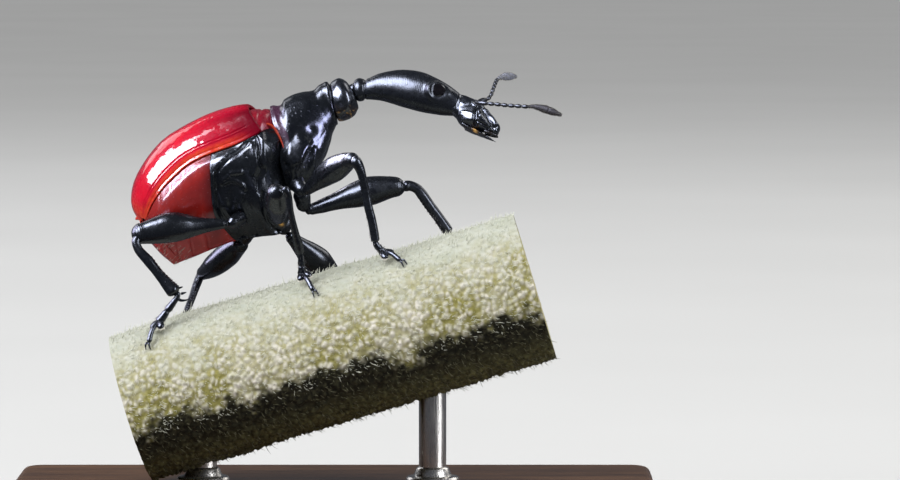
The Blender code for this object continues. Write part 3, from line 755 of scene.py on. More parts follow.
# lines seen from the side, as (x, z): abdomen to thorax, the thorax's front, its bright lip
PARTING = ((-3.44, 20.0), (-3.47, 14.9), (-3.47, 13.7), (-3.40, 13.02), (-2.91, 12.53),
           (-2.30, 12.10), (-2.25, 8.0))
THORAX_FRONT = ((-1.95, 20.0), (-1.80, 16.95), (-1.40, 16.72), (-1.10, 16.64), (-0.87, 16.38),
                (-0.70, 15.99), (-0.70, 15.17), (-0.65, 14.35), (-0.62, 8.0))
LIP = ((-3.36, 14.70), (-3.27, 14.86), (-3.05, 15.13), (-2.79, 15.40), (-2.44, 15.67),
       (-2.18, 15.98), (-1.96, 16.20))
BULGE = 0.30            # how much wider the flank is than the stations say
SLANT = (0.10, 0.20)    # how far it slants in again at the wing case's edge, thorax and abdomen
SINK_DEPTHS = (0.0, 0.10, 0.34, 0.42, 0.55)     # below the wing case's edge
SINK_SHARES = (1.0, 0.75, 0.10, 0.02, 0.0)      # of the slant at those depths
# furrows between the abdomen's plates: their lower ends, as (x, z)
SEGMENT_ENDS = ((-3.72, 11.5), (-4.35, 11.3), (-4.90, 11.2), (-5.40, 11.4))
TRUNK_GRID = (420, 280)                         # points along and round the trunk
BELLY = (slice(90, 148), slice(104, 178))       # the part of the abdomen's grid that is hairy
BELLY_HAIRS = 110
# ridges (above 0) and furrows on the thorax: depth, width, line
THORAX_LINES = (
    (-0.070, 0.07, tuple((x + 0.13, z - 0.12) for x, z in LIP)),
    (-0.090, 0.060, ((-1.72, 16.28), (-1.56, 15.78), (-1.53, 15.18), (-1.41, 14.87),
                     (-1.60, 14.46), (-1.62, 14.00))),
    (0.050, 0.09, ((-1.90, 15.9), (-1.74, 15.50), (-1.66, 15.10), (-1.80, 14.7))),
    (0.050, 0.10, ((-1.50, 16.40), (-1.38, 15.7), (-1.36, 15.1))),
    (0.090, 0.055, ((-2.98, 14.42), (-2.75, 14.56))),
    (0.090, 0.055, ((-2.67, 14.67), (-2.24, 14.74))),
    (0.070, 0.055, ((-2.97, 14.28), (-2.64, 14.42), (-2.23, 14.28), (-2.14, 14.10))),
    (-0.050, 0.09, ((-2.98, 14.14), (-2.60, 14.24), (-2.26, 14.10))),
    (-0.050, 0.14, ((-2.72, 13.90), (-2.62, 13.40), (-2.44, 12.67), (-2.28, 12.13))),
    (0.045, 0.13, ((-2.98, 13.8), (-2.90, 13.3), (-2.72, 12.6))),
    (0.045, 0.13, ((-2.36, 13.9), (-2.25, 13.4), (-2.05, 12.6))),
    (-0.050, 0.11, ((-2.06, 14.00), (-1.98, 13.40), (-1.86, 12.68), (-1.70, 12.13))),
    (0.060, 0.09, ((-1.62, 14.10), (-1.58, 13.30), (-1.38, 12.80), (-0.95, 12.50))),
    (-0.080, 0.06, ((-1.46, 14.00), (-1.43, 13.28), (-1.22, 12.86), (-0.86, 12.68))),
    (0.060, 0.06, ((-3.38, 14.6), (-3.38, 14.0), (-3.30, 13.2), (-2.85, 12.66))),
    (-0.050, 0.06, ((-3.22, 14.5), (-3.22, 14.0), (-3.14, 13.3), (-2.75, 12.82))),
)
HIP_SPOT = (-0.84, 13.00)                       # a golden spot by the middle leg's hip


def trunk_surface(rows, sides):
    """The trunk as columns from front to back: narrow under the wing cases, a keeled hull below."""
    stations = curve(TRUNK_STATIONS, rows)
    along = np.linspace(TRUNK_STATIONS[0][0], TRUNK_STATIONS[-1][0], rows)
    bottom = np.interp(along, stations[:, 0], stations[:, 1])[:, None]
    half = np.interp(along, stations[:, 0], stations[:, 2])[:, None]
    wide = step_between(along, 0.8, 1.8) * (1 - step_between(along, 5.2, 6.6))
    half = half + BULGE * wide[:, None]
    along = along[:, None]
    # its top line: a ramp at the front, then just inside the wing cases, then the tail's end
    inside = ridge(along, 0.55)
    tail = np.minimum(4.0 * (along - 6.62), margin(along) + 0.12)
    ramp = 0.75 - 1.6 * (along - 0.45)
    top = np.maximum(inside, np.where(along < 1.2, ramp, inside))
    top = np.maximum(top, np.where(along > 6.5, tail, top))
    # where the wing cases end, and the half-widths inside them and right below their edge
    edge = np.maximum(margin(along) + 0.02, top + 0.05)
    under = np.minimum(np.maximum(case_width(along) - 0.30, 0.5), half)
    edge_reach = np.minimum(half, np.maximum(case_width(along) - 0.04, under))
    slant = SLANT[0] + (SLANT[1] - SLANT[0]) * step_between(along, 1.9, 3.0)
    # a quarter of each ring lies between its top and the wing case's edge
    quarter = sides // 4
    angle = pi / 2 * np.arange(quarter + 1) / quarter
    upper_reach = (under - 0.07) * np.sin(angle) ** (2 / CASE_CORNER)
    upper_below = edge - (edge - top) * np.cos(angle) ** (2 / CASE_CORNER)
    # and a quarter below, where the flank slants in towards the edge and again to the keel
    share = np.linspace(0.0, 1.0, quarter + 1)[1:] ** 1.15
    past = np.maximum(share - 0.11, 0)
    lower_reach = half * (1 - 0.46 * past - 0.837 * past ** 3 / 0.89)
    lower_below = edge + (bottom - edge) * share
    sunk = np.interp(lower_below - edge, SINK_DEPTHS, SINK_SHARES)
    blend = 1 - step_between(lower_below - edge, 0.5, 1.6)
    bulging = edge_reach + slant * (1 - sunk)
    lower_reach = lower_reach * (1 - blend) + bulging * blend
    reach = np.hstack((upper_reach, np.maximum(lower_reach, 0.0)))
    below = np.hstack((upper_below, lower_below))
    # the other half of each ring mirrors them
    reach = np.hstack((reach, -reach[:, -2:0:-1]))
    below = np.hstack((below, below[:, -2:0:-1]))
    return case_point(along, reach, below)


def side_below(points):
    """How far below the wing case's margin the points lie, seen from the side."""
    dx, dz = points[..., 0] - CASE_ORIGIN[0], points[..., 2] - CASE_ORIGIN[1]
    along = -dx * cos(CASE_SLOPE) - dz * sin(CASE_SLOPE)
    return dx * sin(CASE_SLOPE) - dz * cos(CASE_SLOPE) - margin(along)


def side_of(points, line):
    """How far behind (positive) a line of falling z the points lie."""
    line = np.array(line)[::-1]
    return np.interp(points[..., 2], line[:, 1], line[:, 0]) - points[..., 0]


def resample(columns, ahead, behind, rows):
    """Each column of the surface between two lines seen from the side, either may be None."""
    count = len(columns)
    places = np.arange(count, dtype=float)
    result = np.empty((rows, columns.shape[1], 3))
    for k in range(columns.shape[1]):
        column = columns[:, k]
        start, stop = 0.0, count - 1.0
        if ahead is not None:
            side = np.maximum.accumulate(side_of(column, ahead))
            start = np.interp(0.0, side, places) if side[-1] > 0 else stop
        if behind is not None:
            side = np.maximum.accumulate(side_of(column, behind))
            stop = np.interp(0.0, side, places) if side[-1] > 0 else stop
        spots = np.linspace(min(start, stop), stop, rows)
        for axis in range(3):
            result[:, k, axis] = np.interp(spots, places, column[:, axis])
    return result


def add_abdomen(surface, red, pale_hair):
    rear = resample(surface, PARTING, None, 150)
    flank = flank_of(rear)
    furrows = [((x, low), (x - 0.06, low + 0.9), (x - 0.20, 15.6)) for x, low in SEGMENT_ENDS]
    # each plate ends in a low step with a narrow furrow behind it, clearer on the belly
    relief = sum(0.022 * np.exp(-(beside(rear + (0.10, 0, 0), line) / 0.10) ** 2)
                 - 0.035 * np.exp(-(beside(rear, line) / 0.03) ** 2) for line in furrows)
    relief = relief * (0.12 + 0.88 * (1 - step_between(rear[..., 2], 12.3, 13.3)))
    relief = relief + 0.012 * ripple(rear, 1.2, 12) * flank
    relief = relief + 0.0015 * ripple(rear, (0.12, 0.5, 0.6), 13)
    upper = bump_at(side_below(rear), 0.25, 0.30)
    relief = relief + 0.002 * upper * ripple(rear, (0.25, 0.25, 0.10), 14)
    rear = swell(rear, relief)
    # painted shade: a darker band along the join with the thorax, strongest in its upper part
    shade = 0.75 * bump_at(rear[..., 0], -3.45, 0.30) * step_between(rear[..., 2], 11.5, 13.0)
    end_rings = 6
    rear = dome(rear, 0.10, end_rings)
    shade = np.vstack((shade, np.repeat(shade[-1:], end_rings, axis=0)))
    shape = Shape()
    shape.grid(rear, shade=shade)
    belly = rear[BELLY].reshape(-1, 3)
    chance = np.random.default_rng(15)
    for _ in range(BELLY_HAIRS):
        root = belly[int(chance.integers(0, len(belly)))]
        size = chance.uniform(0.10, 0.24)
        way = unit(np.array((-0.9, chance.uniform(-0.5, 0.5), -0.8 + chance.uniform(-0.4, 0.4))))
        sag = np.array((0.0, 0.0, -0.3)) * size
        hair(shape, root - way * 0.02, root + way * size, 0.006, sag)
    shape.piece("abdomen_shell", [red, pale_hair], "abdomen_shell", ["abdomen"])


def add_thorax(surface, black):
    front = resample(surface, THORAX_FRONT, PARTING, 170)
    flank = flank_of(front)
    # the bright lip, the seams and wrinkles, then waves and warts
    relief = (roof_on(front, 0.060, 0.27, LIP) + lines_on(front, *THORAX_LINES)) * flank
    relief = relief + 0.006 * ripple(front, (0.20, 0.5, 0.5), 22) * flank
    relief = relief + waves(front, (0.006, 0.30, 24), (0.02, 0.8, 28))
    relief = relief + GRAIN * pits(front, 0.17, 26, 0.16)
    front = dome(dome(swell(front, relief), 0.05, 4), 0.10, 5, start=True)
    gold = lump(front, *HIP_SPOT, 0.07, 0.06) * (front[..., 1] < 0)
    shape = Shape()
    shape.grid(front, gold=np.clip(1.6 * gold, 0, 1))
    shape.piece("thorax_rear_shell", [black], "black_shell", ["thorax_rear"])


# ---- waist, prothorax, collar ----------------------------------------

# stations from back to front: top x, top z, bottom x, bottom z, half-width
WAIST_STATIONS = (
    (-2.75, 17.52, -1.95, 15.30, 1.98),
    (-2.20, 17.67, -1.50, 15.60, 1.90),
    (-1.80, 17.73, -1.30, 15.85, 1.72),
    (-1.50, 17.74, -1.12, 16.00, 1.50),
    (-1.28, 17.72, -0.95, 15.98, 1.22),
    (-1.05, 17.60, -0.75, 15.95, 1.00),
)
PROTHORAX_STATIONS = (
    (-1.36, 17.95, -0.64, 14.46, 1.44),
    (-1.00, 17.97, -0.20, 14.36, 1.50),
    (-0.78, 18.15, 0.05, 14.46, 1.46),
    (-0.45, 18.34, 0.36, 14.80, 1.36),
    (-0.06, 18.46, 0.72, 15.55, 1.20),
    (0.26, 18.50, 1.00, 16.36, 1.00),
    (0.44, 18.60, 1.16, 16.80, 0.90),
    (0.62, 18.76, 1.26, 17.04, 0.84),
    (0.84, 18.85, 1.31, 17.16, 0.83),
    (1.03, 18.83, 1.36, 17.26, 0.80),
)
COLLAR_STATIONS = (
    (1.04, 18.80, 1.37, 17.30, 0.74),
    (1.14, 18.91, 1.42, 17.28, 0.80),
    (1.38, 19.02, 1.60, 17.32, 0.85),
    (1.66, 18.92, 1.98, 17.48, 0.77),
    (1.83, 18.74, 2.19, 17.80, 0.54),
)
# the thin orange skin that shows in front of the rear thorax
SEAM = ((-1.50, -1.52, 16.86), (-1.19, -1.50, 16.80), (-1.01, -1.46, 16.64),
        (-0.84, -1.42, 16.34), (-0.70, -1.40, 16.02), (-0.64, -1.36, 15.80))
# ridges and furrows as in THORAX_LINES
PROTHORAX_LINES = (
    (-0.10, 0.22, ((0.10, 14.60), (0.20, 15.30), (0.32, 16.00), (0.46, 16.62))),
    (0.08, 0.09, ((0.42, 14.80), (0.50, 15.40), (0.54, 15.94))),
    (-0.06, 0.07, ((-0.60, 15.20), (-0.35, 15.12), (-0.12, 15.20))),
)


def add_waist(red):
    waist = barrel(WAIST_STATIONS, 60, 96)
    relief = 0.012 * ripple(waist, (0.3, 0.4, 0.3), 31) - 0.05 * bump_at(waist[..., 0], -1.66, 0.06)
    waist = dome(swell(waist, relief), 0.05, 4)
    shape = Shape()
    shape.grid(waist, edge=step_between(-waist[..., 2], -16.7, -16.1))
    # the scutellum, a small shield between the wing cases' shoulders
    u = np.linspace(0, 1, 26)[:, None]
    v = np.linspace(-1, 1, 27)[None, :]
    half = 0.30 * (1 - u ** 1.6) ** 0.7 + 0.01
    shield = np.stack(np.broadcast_arrays(
        -1.80 - 0.46 * u, half * v, 17.71 + 0.05 * (1 - v ** 2) + 0.08 * u), axis=-1)
    thick_sheet(shape, shield, 0.10, (-2.0, 0.0, 17.2), edge=0.2)
    # the orange skin, thinner at its front end
    seam = curve(SEAM, 50)
    thick = 0.015 + 0.035 * np.sin(np.linspace(0.25, 1, 50) * pi) ** 0.8
    for mirror in (1, -1):
        shape.grid(tube(seam * (1, mirror, 1), thick, 16, (0, 1, 0)), edge=1.0)
    shape.piece("waist_shell", [red], "waist_shell", ["waist"])


def add_prothorax(black):
    rows, sides = 200, 176
    layers = barrel(PROTHORAX_STATIONS, rows, sides, widest=0.44, corner=2.2)
    share = np.linspace(0, 1, rows)[:, None] * np.ones((1, sides))
    flank = flank_of(layers, 1.8)
    upper = step_between(layers[..., 2], 16.3, 17.0)
    layers[..., 0] += 0.30 * bump_at(layers[..., 2], 16.2, 0.45) * (1 - step_between(share, 0.0, 0.25))
    # the rear flange, the step before the front ring and the ring itself
    relief = -0.08 * (1 - step_between(share, 0.12, 0.21)) * (0.3 + 0.7 * upper)
    relief = relief + 0.035 * bump_at(share, 0.05, 0.035) * upper
    relief = relief + 0.035 * bump_at(share, 0.965, 0.02) - 0.05 * bump_at(share, 1.0, 0.012)
    relief = relief - 0.02 * bump_at(share, 0.80, 0.05) * upper
    relief = relief + lines_on(layers, *PROTHORAX_LINES) * flank
    # the two lobes on its side and the knob below them
    left_lobe = facet(layers, -0.07, 15.81, 0.64, 0.42, 0.16, -0.48)
    right_lobe = facet(layers, 0.98, 16.26, 0.52, 0.24, 0.16, -0.45)
    relief = relief + (0.36 * left_lobe + 0.26 * right_lobe) * flank
    relief = relief + 0.020 * left_lobe * ripple(layers, (0.12, 0.3, 0.08), 41)
    relief = relief + 0.008 * right_lobe * ripple(layers, (0.10, 0.3, 0.10), 42)
    relief = relief + 0.07 * lump(layers, -0.31, 15.10, 0.15, 0.13) * flank
    relief = relief + waves(layers, (0.004, (0.2, 0.5, 0.35), 43), (0.012, 0.7, 49))
    relief = relief + GRAIN * pits(layers, 0.17, 45, 0.16)
    relief = relief - 0.020 * pits(layers, 0.14, 47) * (1 - step_between(layers[..., 2], 14.9, 15.4))
    layers = swell(layers, relief)
    plum = (1 - step_between(share, 0.11, 0.16)) * step_between(layers[..., 2], 15.8, 16.6)
    end_rings = 4
    plum = np.concatenate((np.repeat(plum[:1], end_rings, 0), plum, np.zeros((end_rings, sides))))
    layers = dome(dome(layers, 0.03, end_rings, start=True), 0.04, end_rings)
    shape = Shape()
    shape.grid(layers, plum=plum)
    shape.piece("prothorax_shell", [black], "black_shell", ["prothorax"])


def add_collar(black):
    layers = barrel(COLLAR_STATIONS, 110, 144)
    share = np.linspace(0, 1, 110)[:, None]
    # one round swelling, wrinkled below, where it is also browner with golden specks painted in as
    # glints
    low = 1 - step_between(layers[..., 2], 17.7, 18.1)
    relief = 0.020 * bump_at(share, 0.45, 0.22) * (1 - 0.35 * low)
    relief = relief + 0.020 * low * ripple(layers, (0.25, 0.3, 0.16), 51)
    relief = relief + 0.004 * ripple(layers, (0.2, 0.4, 0.3), 53)
    layers = swell(layers, relief)
    layers = dome(dome(layers, 0.03, 4, start=True), 0.06, 5)
    brown = (1 - step_between(layers[..., 2], 17.5, 17.9)) * step_between(layers[..., 0], 1.2, 1.5)
    # painted glints: golden specks scattered in the brown below
    gold = 0.3 * brown * step_between(ripple(layers, (0.12, 0.3, 0.07), 57), 0.25, 0.6)
    brown = 0.8 * brown * (0.5 + 0.5 * ripple(layers, 0.22, 55))
    shape = Shape()
    shape.grid(layers, brown=brown, gold=gold)
    shape.piece("collar_shell", [black], "black_shell", ["collar"])


# ---- head, eyes, rostrum, jaws ---------------------------------------

# stations as in WAIST_STATIONS
HEAD_STATIONS = (
    (1.66, 18.70, 1.78, 18.36, 0.18),
    (1.88, 18.80, 2.00, 18.28, 0.30),
    (2.04, 18.95, 2.15, 18.15, 0.40),
    (2.22, 19.01, 2.32, 18.12, 0.42),
    (2.40, 19.00, 2.48, 18.14, 0.40),
    (2.60, 19.03, 2.64, 18.17, 0.42),
    (3.05, 19.23, 3.07, 18.12, 0.53),
    (3.68, 19.355, 3.62, 17.97, 0.63),
    (4.27, 19.355, 4.13, 17.80, 0.70),
    (4.84, 19.24, 4.65, 17.66, 0.71),
    (5.37, 19.01, 5.18, 17.55, 0.66),
    (5.82, 18.74, 5.63, 17.49, 0.56),
    (6.28, 18.40, 6.12, 17.46, 0.44),
)
ROSTRUM_STATIONS = (
    (6.18, 18.42, 6.02, 17.48, 0.40),
    (6.40, 18.33, 6.16, 17.36, 0.39),
    (6.62, 18.25, 6.28, 17.18, 0.45),
    (6.88, 18.14, 6.46, 16.98, 0.55),
    (7.12, 18.02, 6.72, 16.88, 0.61),
    (7.34, 17.79, 6.98, 16.84, 0.57),
    (7.58, 17.49, 7.24, 16.78, 0.48),
    (7.78, 17.24, 7.50, 16.72, 0.40),
    (7.91, 17.08, 7.74, 16.62, 0.31),
)
EYE_MIDDLE = (5.47, 0.40, 18.39)
EYE_RADII = (0.31, 0.33, 0.31)
EYE_FLATNESS = 0.72     # below 1 its middle is flatter than a ball's
# ridges and furrows as in THORAX_LINES
ROSTRUM_LINES = (
    (-0.045, 0.04, ((6.20, 17.45), (6.25, 17.80), (6.35, 18.10), (6.40, 18.40))),
    (-0.110, 0.07, ((7.10, 17.95), (7.04, 17.60), (7.02, 17.30), (6.98, 16.95))),
    (0.030, 0.03, ((6.42, 17.52), (6.66, 17.48), (6.92, 17.36))),
    (0.100, 0.08, ((7.40, 17.62), (7.60, 17.36), (7.80, 17.02))),
    (-0.070, 0.05, ((7.24, 17.66), (7.42, 17.36), (7.62, 17.06), (7.70, 16.86))),
    (0.080, 0.07, ((7.16, 17.34), (7.30, 17.16), (7.50, 16.96))),
    (-0.060, 0.04, ((7.10, 17.10), (7.28, 17.00), (7.48, 16.84))),
)
FEELER_SOCKET = (6.98, 17.92)   # seen from the side
LOWER_LIP = ((6.46, 0, 17.04), (6.80, 0, 16.86), (7.10, 0, 16.72), (7.40, 0, 16.57),
             (7.74, 0, 16.39))


def add_head(black):
    """Head and neck, with a ring at the neck and raised orbits round the eyes."""
    layers = barrel(HEAD_STATIONS, 300, 144, widest=0.48)
    x = layers[..., 0]
    flank = flank_of(layers)
    # the ring at the neck
    relief = -0.060 * bump_at(x, 2.47, 0.05) + 0.035 * bump_at(x, 2.21, 0.13)
    relief = relief - 0.040 * bump_at(x, 1.96, 0.05)
    # very fine cross lines on the back of the head
    band = step_between(x, 2.5, 2.8) * (1 - step_between(x, 4.9, 5.3))
    relief = relief + 0.0016 * np.sin(x / 0.075 * 2 * pi + 3 * ripple(layers, 0.25, 61)) * band
    relief = relief + 0.0016 * ripple(layers, (0.06, 0.2, 0.10), 62) * band
    # the orbit, higher behind the eye
    ring = np.sqrt((x - EYE_MIDDLE[0]) ** 2 + (layers[..., 2] - EYE_MIDDLE[2]) ** 2)
    behind = np.clip((EYE_MIDDLE[0] - x) / np.maximum(ring, 0.05), -1, 1)
    relief = relief + (0.02 + 0.13 * np.maximum(behind, 0) ** 2) * bump_at(ring, 0.40, 0.11) * flank
    relief = relief + 0.006 * ripple(layers, 0.35, 63)
    shape = Shape()
    shape.grid(dome(swell(layers, relief), 0.05, 4, start=True))
    shape.piece("head_shell", [black], "black_shell", ["head", "neck"])


def add_eye(side, word, look):
    turn = np.linspace(0.02, pi - 0.02, 60)[:, None]
    spin = 2 * pi * np.arange(60)[None, :] / 60
    reach = np.sin(turn) ** EYE_FLATNESS
    bulge = np.sign(np.cos(turn)) * abs(np.cos(turn)) ** EYE_FLATNESS
    ball = np.stack(np.broadcast_arrays(
        EYE_MIDDLE[0] + EYE_RADII[0] * reach * np.cos(spin),
        side * (EYE_MIDDLE[1] + EYE_RADII[1] * bulge),
        EYE_MIDDLE[2] + EYE_RADII[2] * reach * np.sin(spin)), axis=-1)
    shape = Shape()
    shape.grid(ball, rim=step_between(turn, 0.9, 1.3))
    shape.piece(f"eye_{word}_lens", [look], "eye_lens", [f"eye_{word}"])


def add_rostrum(black):
    layers = barrel(ROSTRUM_STATIONS, 150, 120, widest=0.66)
    flank = flank_of(layers)
    socket = np.hypot(layers[..., 0] - FEELER_SOCKET[0], layers[..., 2] - FEELER_SOCKET[1])
    relief = lines_on(layers, *ROSTRUM_LINES)
    relief = relief + 0.080 * facet(layers, 6.60, 17.36, 0.50, 0.44, 0.16, -1.57)
    relief = relief - 0.06 * lump(layers, *FEELER_SOCKET, 0.09, 0.09)
    relief = (relief + 0.05 * bump_at(socket, 0.13, 0.03)) * flank
    relief = relief + 0.010 * ripple(layers, 0.16, 71)
    shape = Shape()
    shape.grid(dome(swell(layers, relief), 0.10, 6))
    # the lower lip: a stout piece under the mouth that ends in a thin point
    lip = curve(LOWER_LIP, 50)
    share = np.linspace(0, 1, 50)
    width = 0.05 + 0.40 * (1 - share ** 2.2)
    depth = 0.025 + 0.13 * (1 - share ** 1.5)
    tilt = -0.42
    sides = 28
    angle = 2 * pi * np.arange(sides) / sides
    ring = np.stack(np.broadcast_arrays(
        tilt * depth[:, None] * np.sin(angle), width[:, None] * np.cos(angle),
        depth[:, None] * np.sin(angle)), axis=-1)
    layers = lip[:, None] + ring
    layers = swell(layers, 0.014 * ripple(layers, 0.10, 75))
    gold = bump_at(layers[..., 0], 6.96, 0.08) * step_between(abs(layers[..., 1]), 0.2, 0.3)
    layers, gold = dome(layers, 0.05, 4), np.vstack((gold, np.zeros((4, sides))))
    shape.grid(layers, brown=0.2, gold=gold)
    shape.piece("rostrum_shell", [black], "black_shell", ["rostrum"])


def add_jaw(side, word, black):
    path = ((7.30, side * 0.25, 16.78), (7.54, side * 0.25, 16.70), (7.74, side * 0.18, 16.62),
            (7.86, side * 0.06, 16.58))
    shape = Shape()
    layers = limb(path, lambda t: 0.10 - 0.065 * t ** 1.5, 40, 20, (0, 0, 1), flat=0.7)
    shape.grid(layers, brown=0.3)
    for share, size in ((0.62, 0.05), (0.8, 0.04)):
        root = np.array(path[0]) * (1 - share) + np.array(path[-1]) * share
        tooth = (root, root + (0.04, -side * 0.06, -0.01), root + (0.07, -side * 0.10, -0.03))
        shape.grid(limb(tooth, lambda t: size * (1 - 0.8 * t), 10, 10, (0, 0, 1)), brown=0.15)
    shape.piece(f"mandible_{word}_horn", [black], "black_shell", [f"mandible_{word}"])


# ---- antennae --------------------------------------------------------

# the line of each feeler and of its club
FEELERS = {
    "right": (((6.98, -0.52, 17.86), (7.06, -0.72, 17.82), (7.35, -0.88, 17.77),
               (7.88, -0.97, 17.70), (8.40, -1.03, 17.63), (9.16, -1.10, 17.56)),
              ((9.10, -1.10, 17.57), (9.45, -1.13, 17.55), (9.95, -1.17, 17.40),
               (10.50, -1.20, 17.18))),
    "left": (((6.90, 0.50, 18.04), (7.00, 0.64, 18.16), (7.16, 0.80, 18.27), (7.36, 1.00, 18.38),
              (7.48, 1.20, 18.60), (7.55, 1.50, 18.94), (7.61, 1.85, 19.26), (7.66, 2.12, 19.46)),
             ((7.64, 2.10, 19.44), (7.80, 2.36, 19.60), (8.06, 2.84, 19.74), (8.36, 3.30, 19.84))),
}
SCAPE_END = 0.30        # share of the feeler taken by its long first joint
BEAD_COUNT = 6


def bead_radius(t):
    """The feeler's radius: a stout first joint, then a row of small beads with narrow necks."""
    scape = 0.055 + 0.05 * np.sin(pi * np.clip(t / SCAPE_END, 0, 1) ** 1.4) ** 0.7
    place = (t - SCAPE_END) / (1 - SCAPE_END) * BEAD_COUNT
    bead = 0.034 + 0.050 * abs(np.sin(pi * place)) ** 0.55
    return np.where(t < SCAPE_END, scape, bead)


def club_radius(t):
    """Three close joints, widest past the middle, that taper to a point."""
    body = 0.050 + 0.112 * np.sin(pi * t ** 1.25) ** 1.1
    joints = bump_at(t, 0.34, 0.02) + bump_at(t, 0.62, 0.02)
    return body * (1 - 0.10 * joints)


def add_antenna(side, word, shell, club_hair, club_skin):
    feeler, club = FEELERS[word]
    shape = Shape()
    layers = limb(feeler, bead_radius, 300, 24, (0, 0.3, 1), caps=(0, 0.6))
    shape.grid(layers, brown=0.1)
    shape.piece(f"antenna_{word}_feeler", [shell], "antenna_shell", [f"antenna_{word}"])
    shape = Shape()
    layers = limb(club, club_radius, 150, 36, (0, 1, 0.2), caps=(0.8, 0.5), flat=0.72)
    layers = swell(layers, 0.004 * ripple(layers, 0.06, 83))
    # the left club gets the paler colour as a painted highlight
    shape.grid(layers, pale=0.0 if word == "right" else 1.0, slot=2)
    down(shape, layers[8:-4], 420, 0.06, 0.005, 86 + side)
    shape.piece(f"antenna_club_{word}_shell", [shell, club_hair, club_skin], "antenna_shell",
                [f"antenna_club_{word}"])


def hair(shape, root, tip, radius, bend, slot=1):
    """One tapered hair of three sides, bent towards a direction."""
    root, tip = np.asarray(root, float), np.asarray(tip, float)
    middle = (root + tip) / 2 + np.asarray(bend) * 0.5
    up = (0.31, 0.57, 0.76)     # along none of the hairs
    layers = tube(np.stack((root, middle, tip)), np.array((1.0, 0.75, 0.12)) * radius, 3, up)
    shape.grid(layers, slot=slot, tip=np.array(((0.0,), (0.6,), (1.0,))))


def down(shape, layers, count, length, radius, seed, lie=0.6, slot=1, closed=True):
    """Short hairs scattered over a grid, lying along its rows."""
    chance = np.random.default_rng(seed)
    normal = outward(layers, closed)
    along = unit(np.gradient(layers, axis=0))
    rows, sides = layers.shape[:2]
    for _ in range(count):
        i, j = int(chance.integers(1, rows - 1)), int(chance.integers(0, sides))
        spread = chance.uniform(-0.3, 0.3, 3)
        size = length * chance.uniform(0.6, 1.2)
        root = layers[i, j]
        way = unit(normal[i, j] * (1 - lie) + along[i, j] * lie + spread * 0.5)
        bend = normal[i, j] * size * 0.2
        hair(shape, root - normal[i, j] * radius, root + way * size, radius, bend, slot)


# ---- legs ------------------------------------------------------------

def on_stem(along, height, angle):
    """A place over the stem's surface, turned by the angle (degrees) to the weevil's right."""
    out = cos(radians(angle)) * STEM_UP + sin(radians(angle)) * RIGHT
    return STEM_POINT + along * STEM_AXIS + (STEM_RADIUS + height) * out


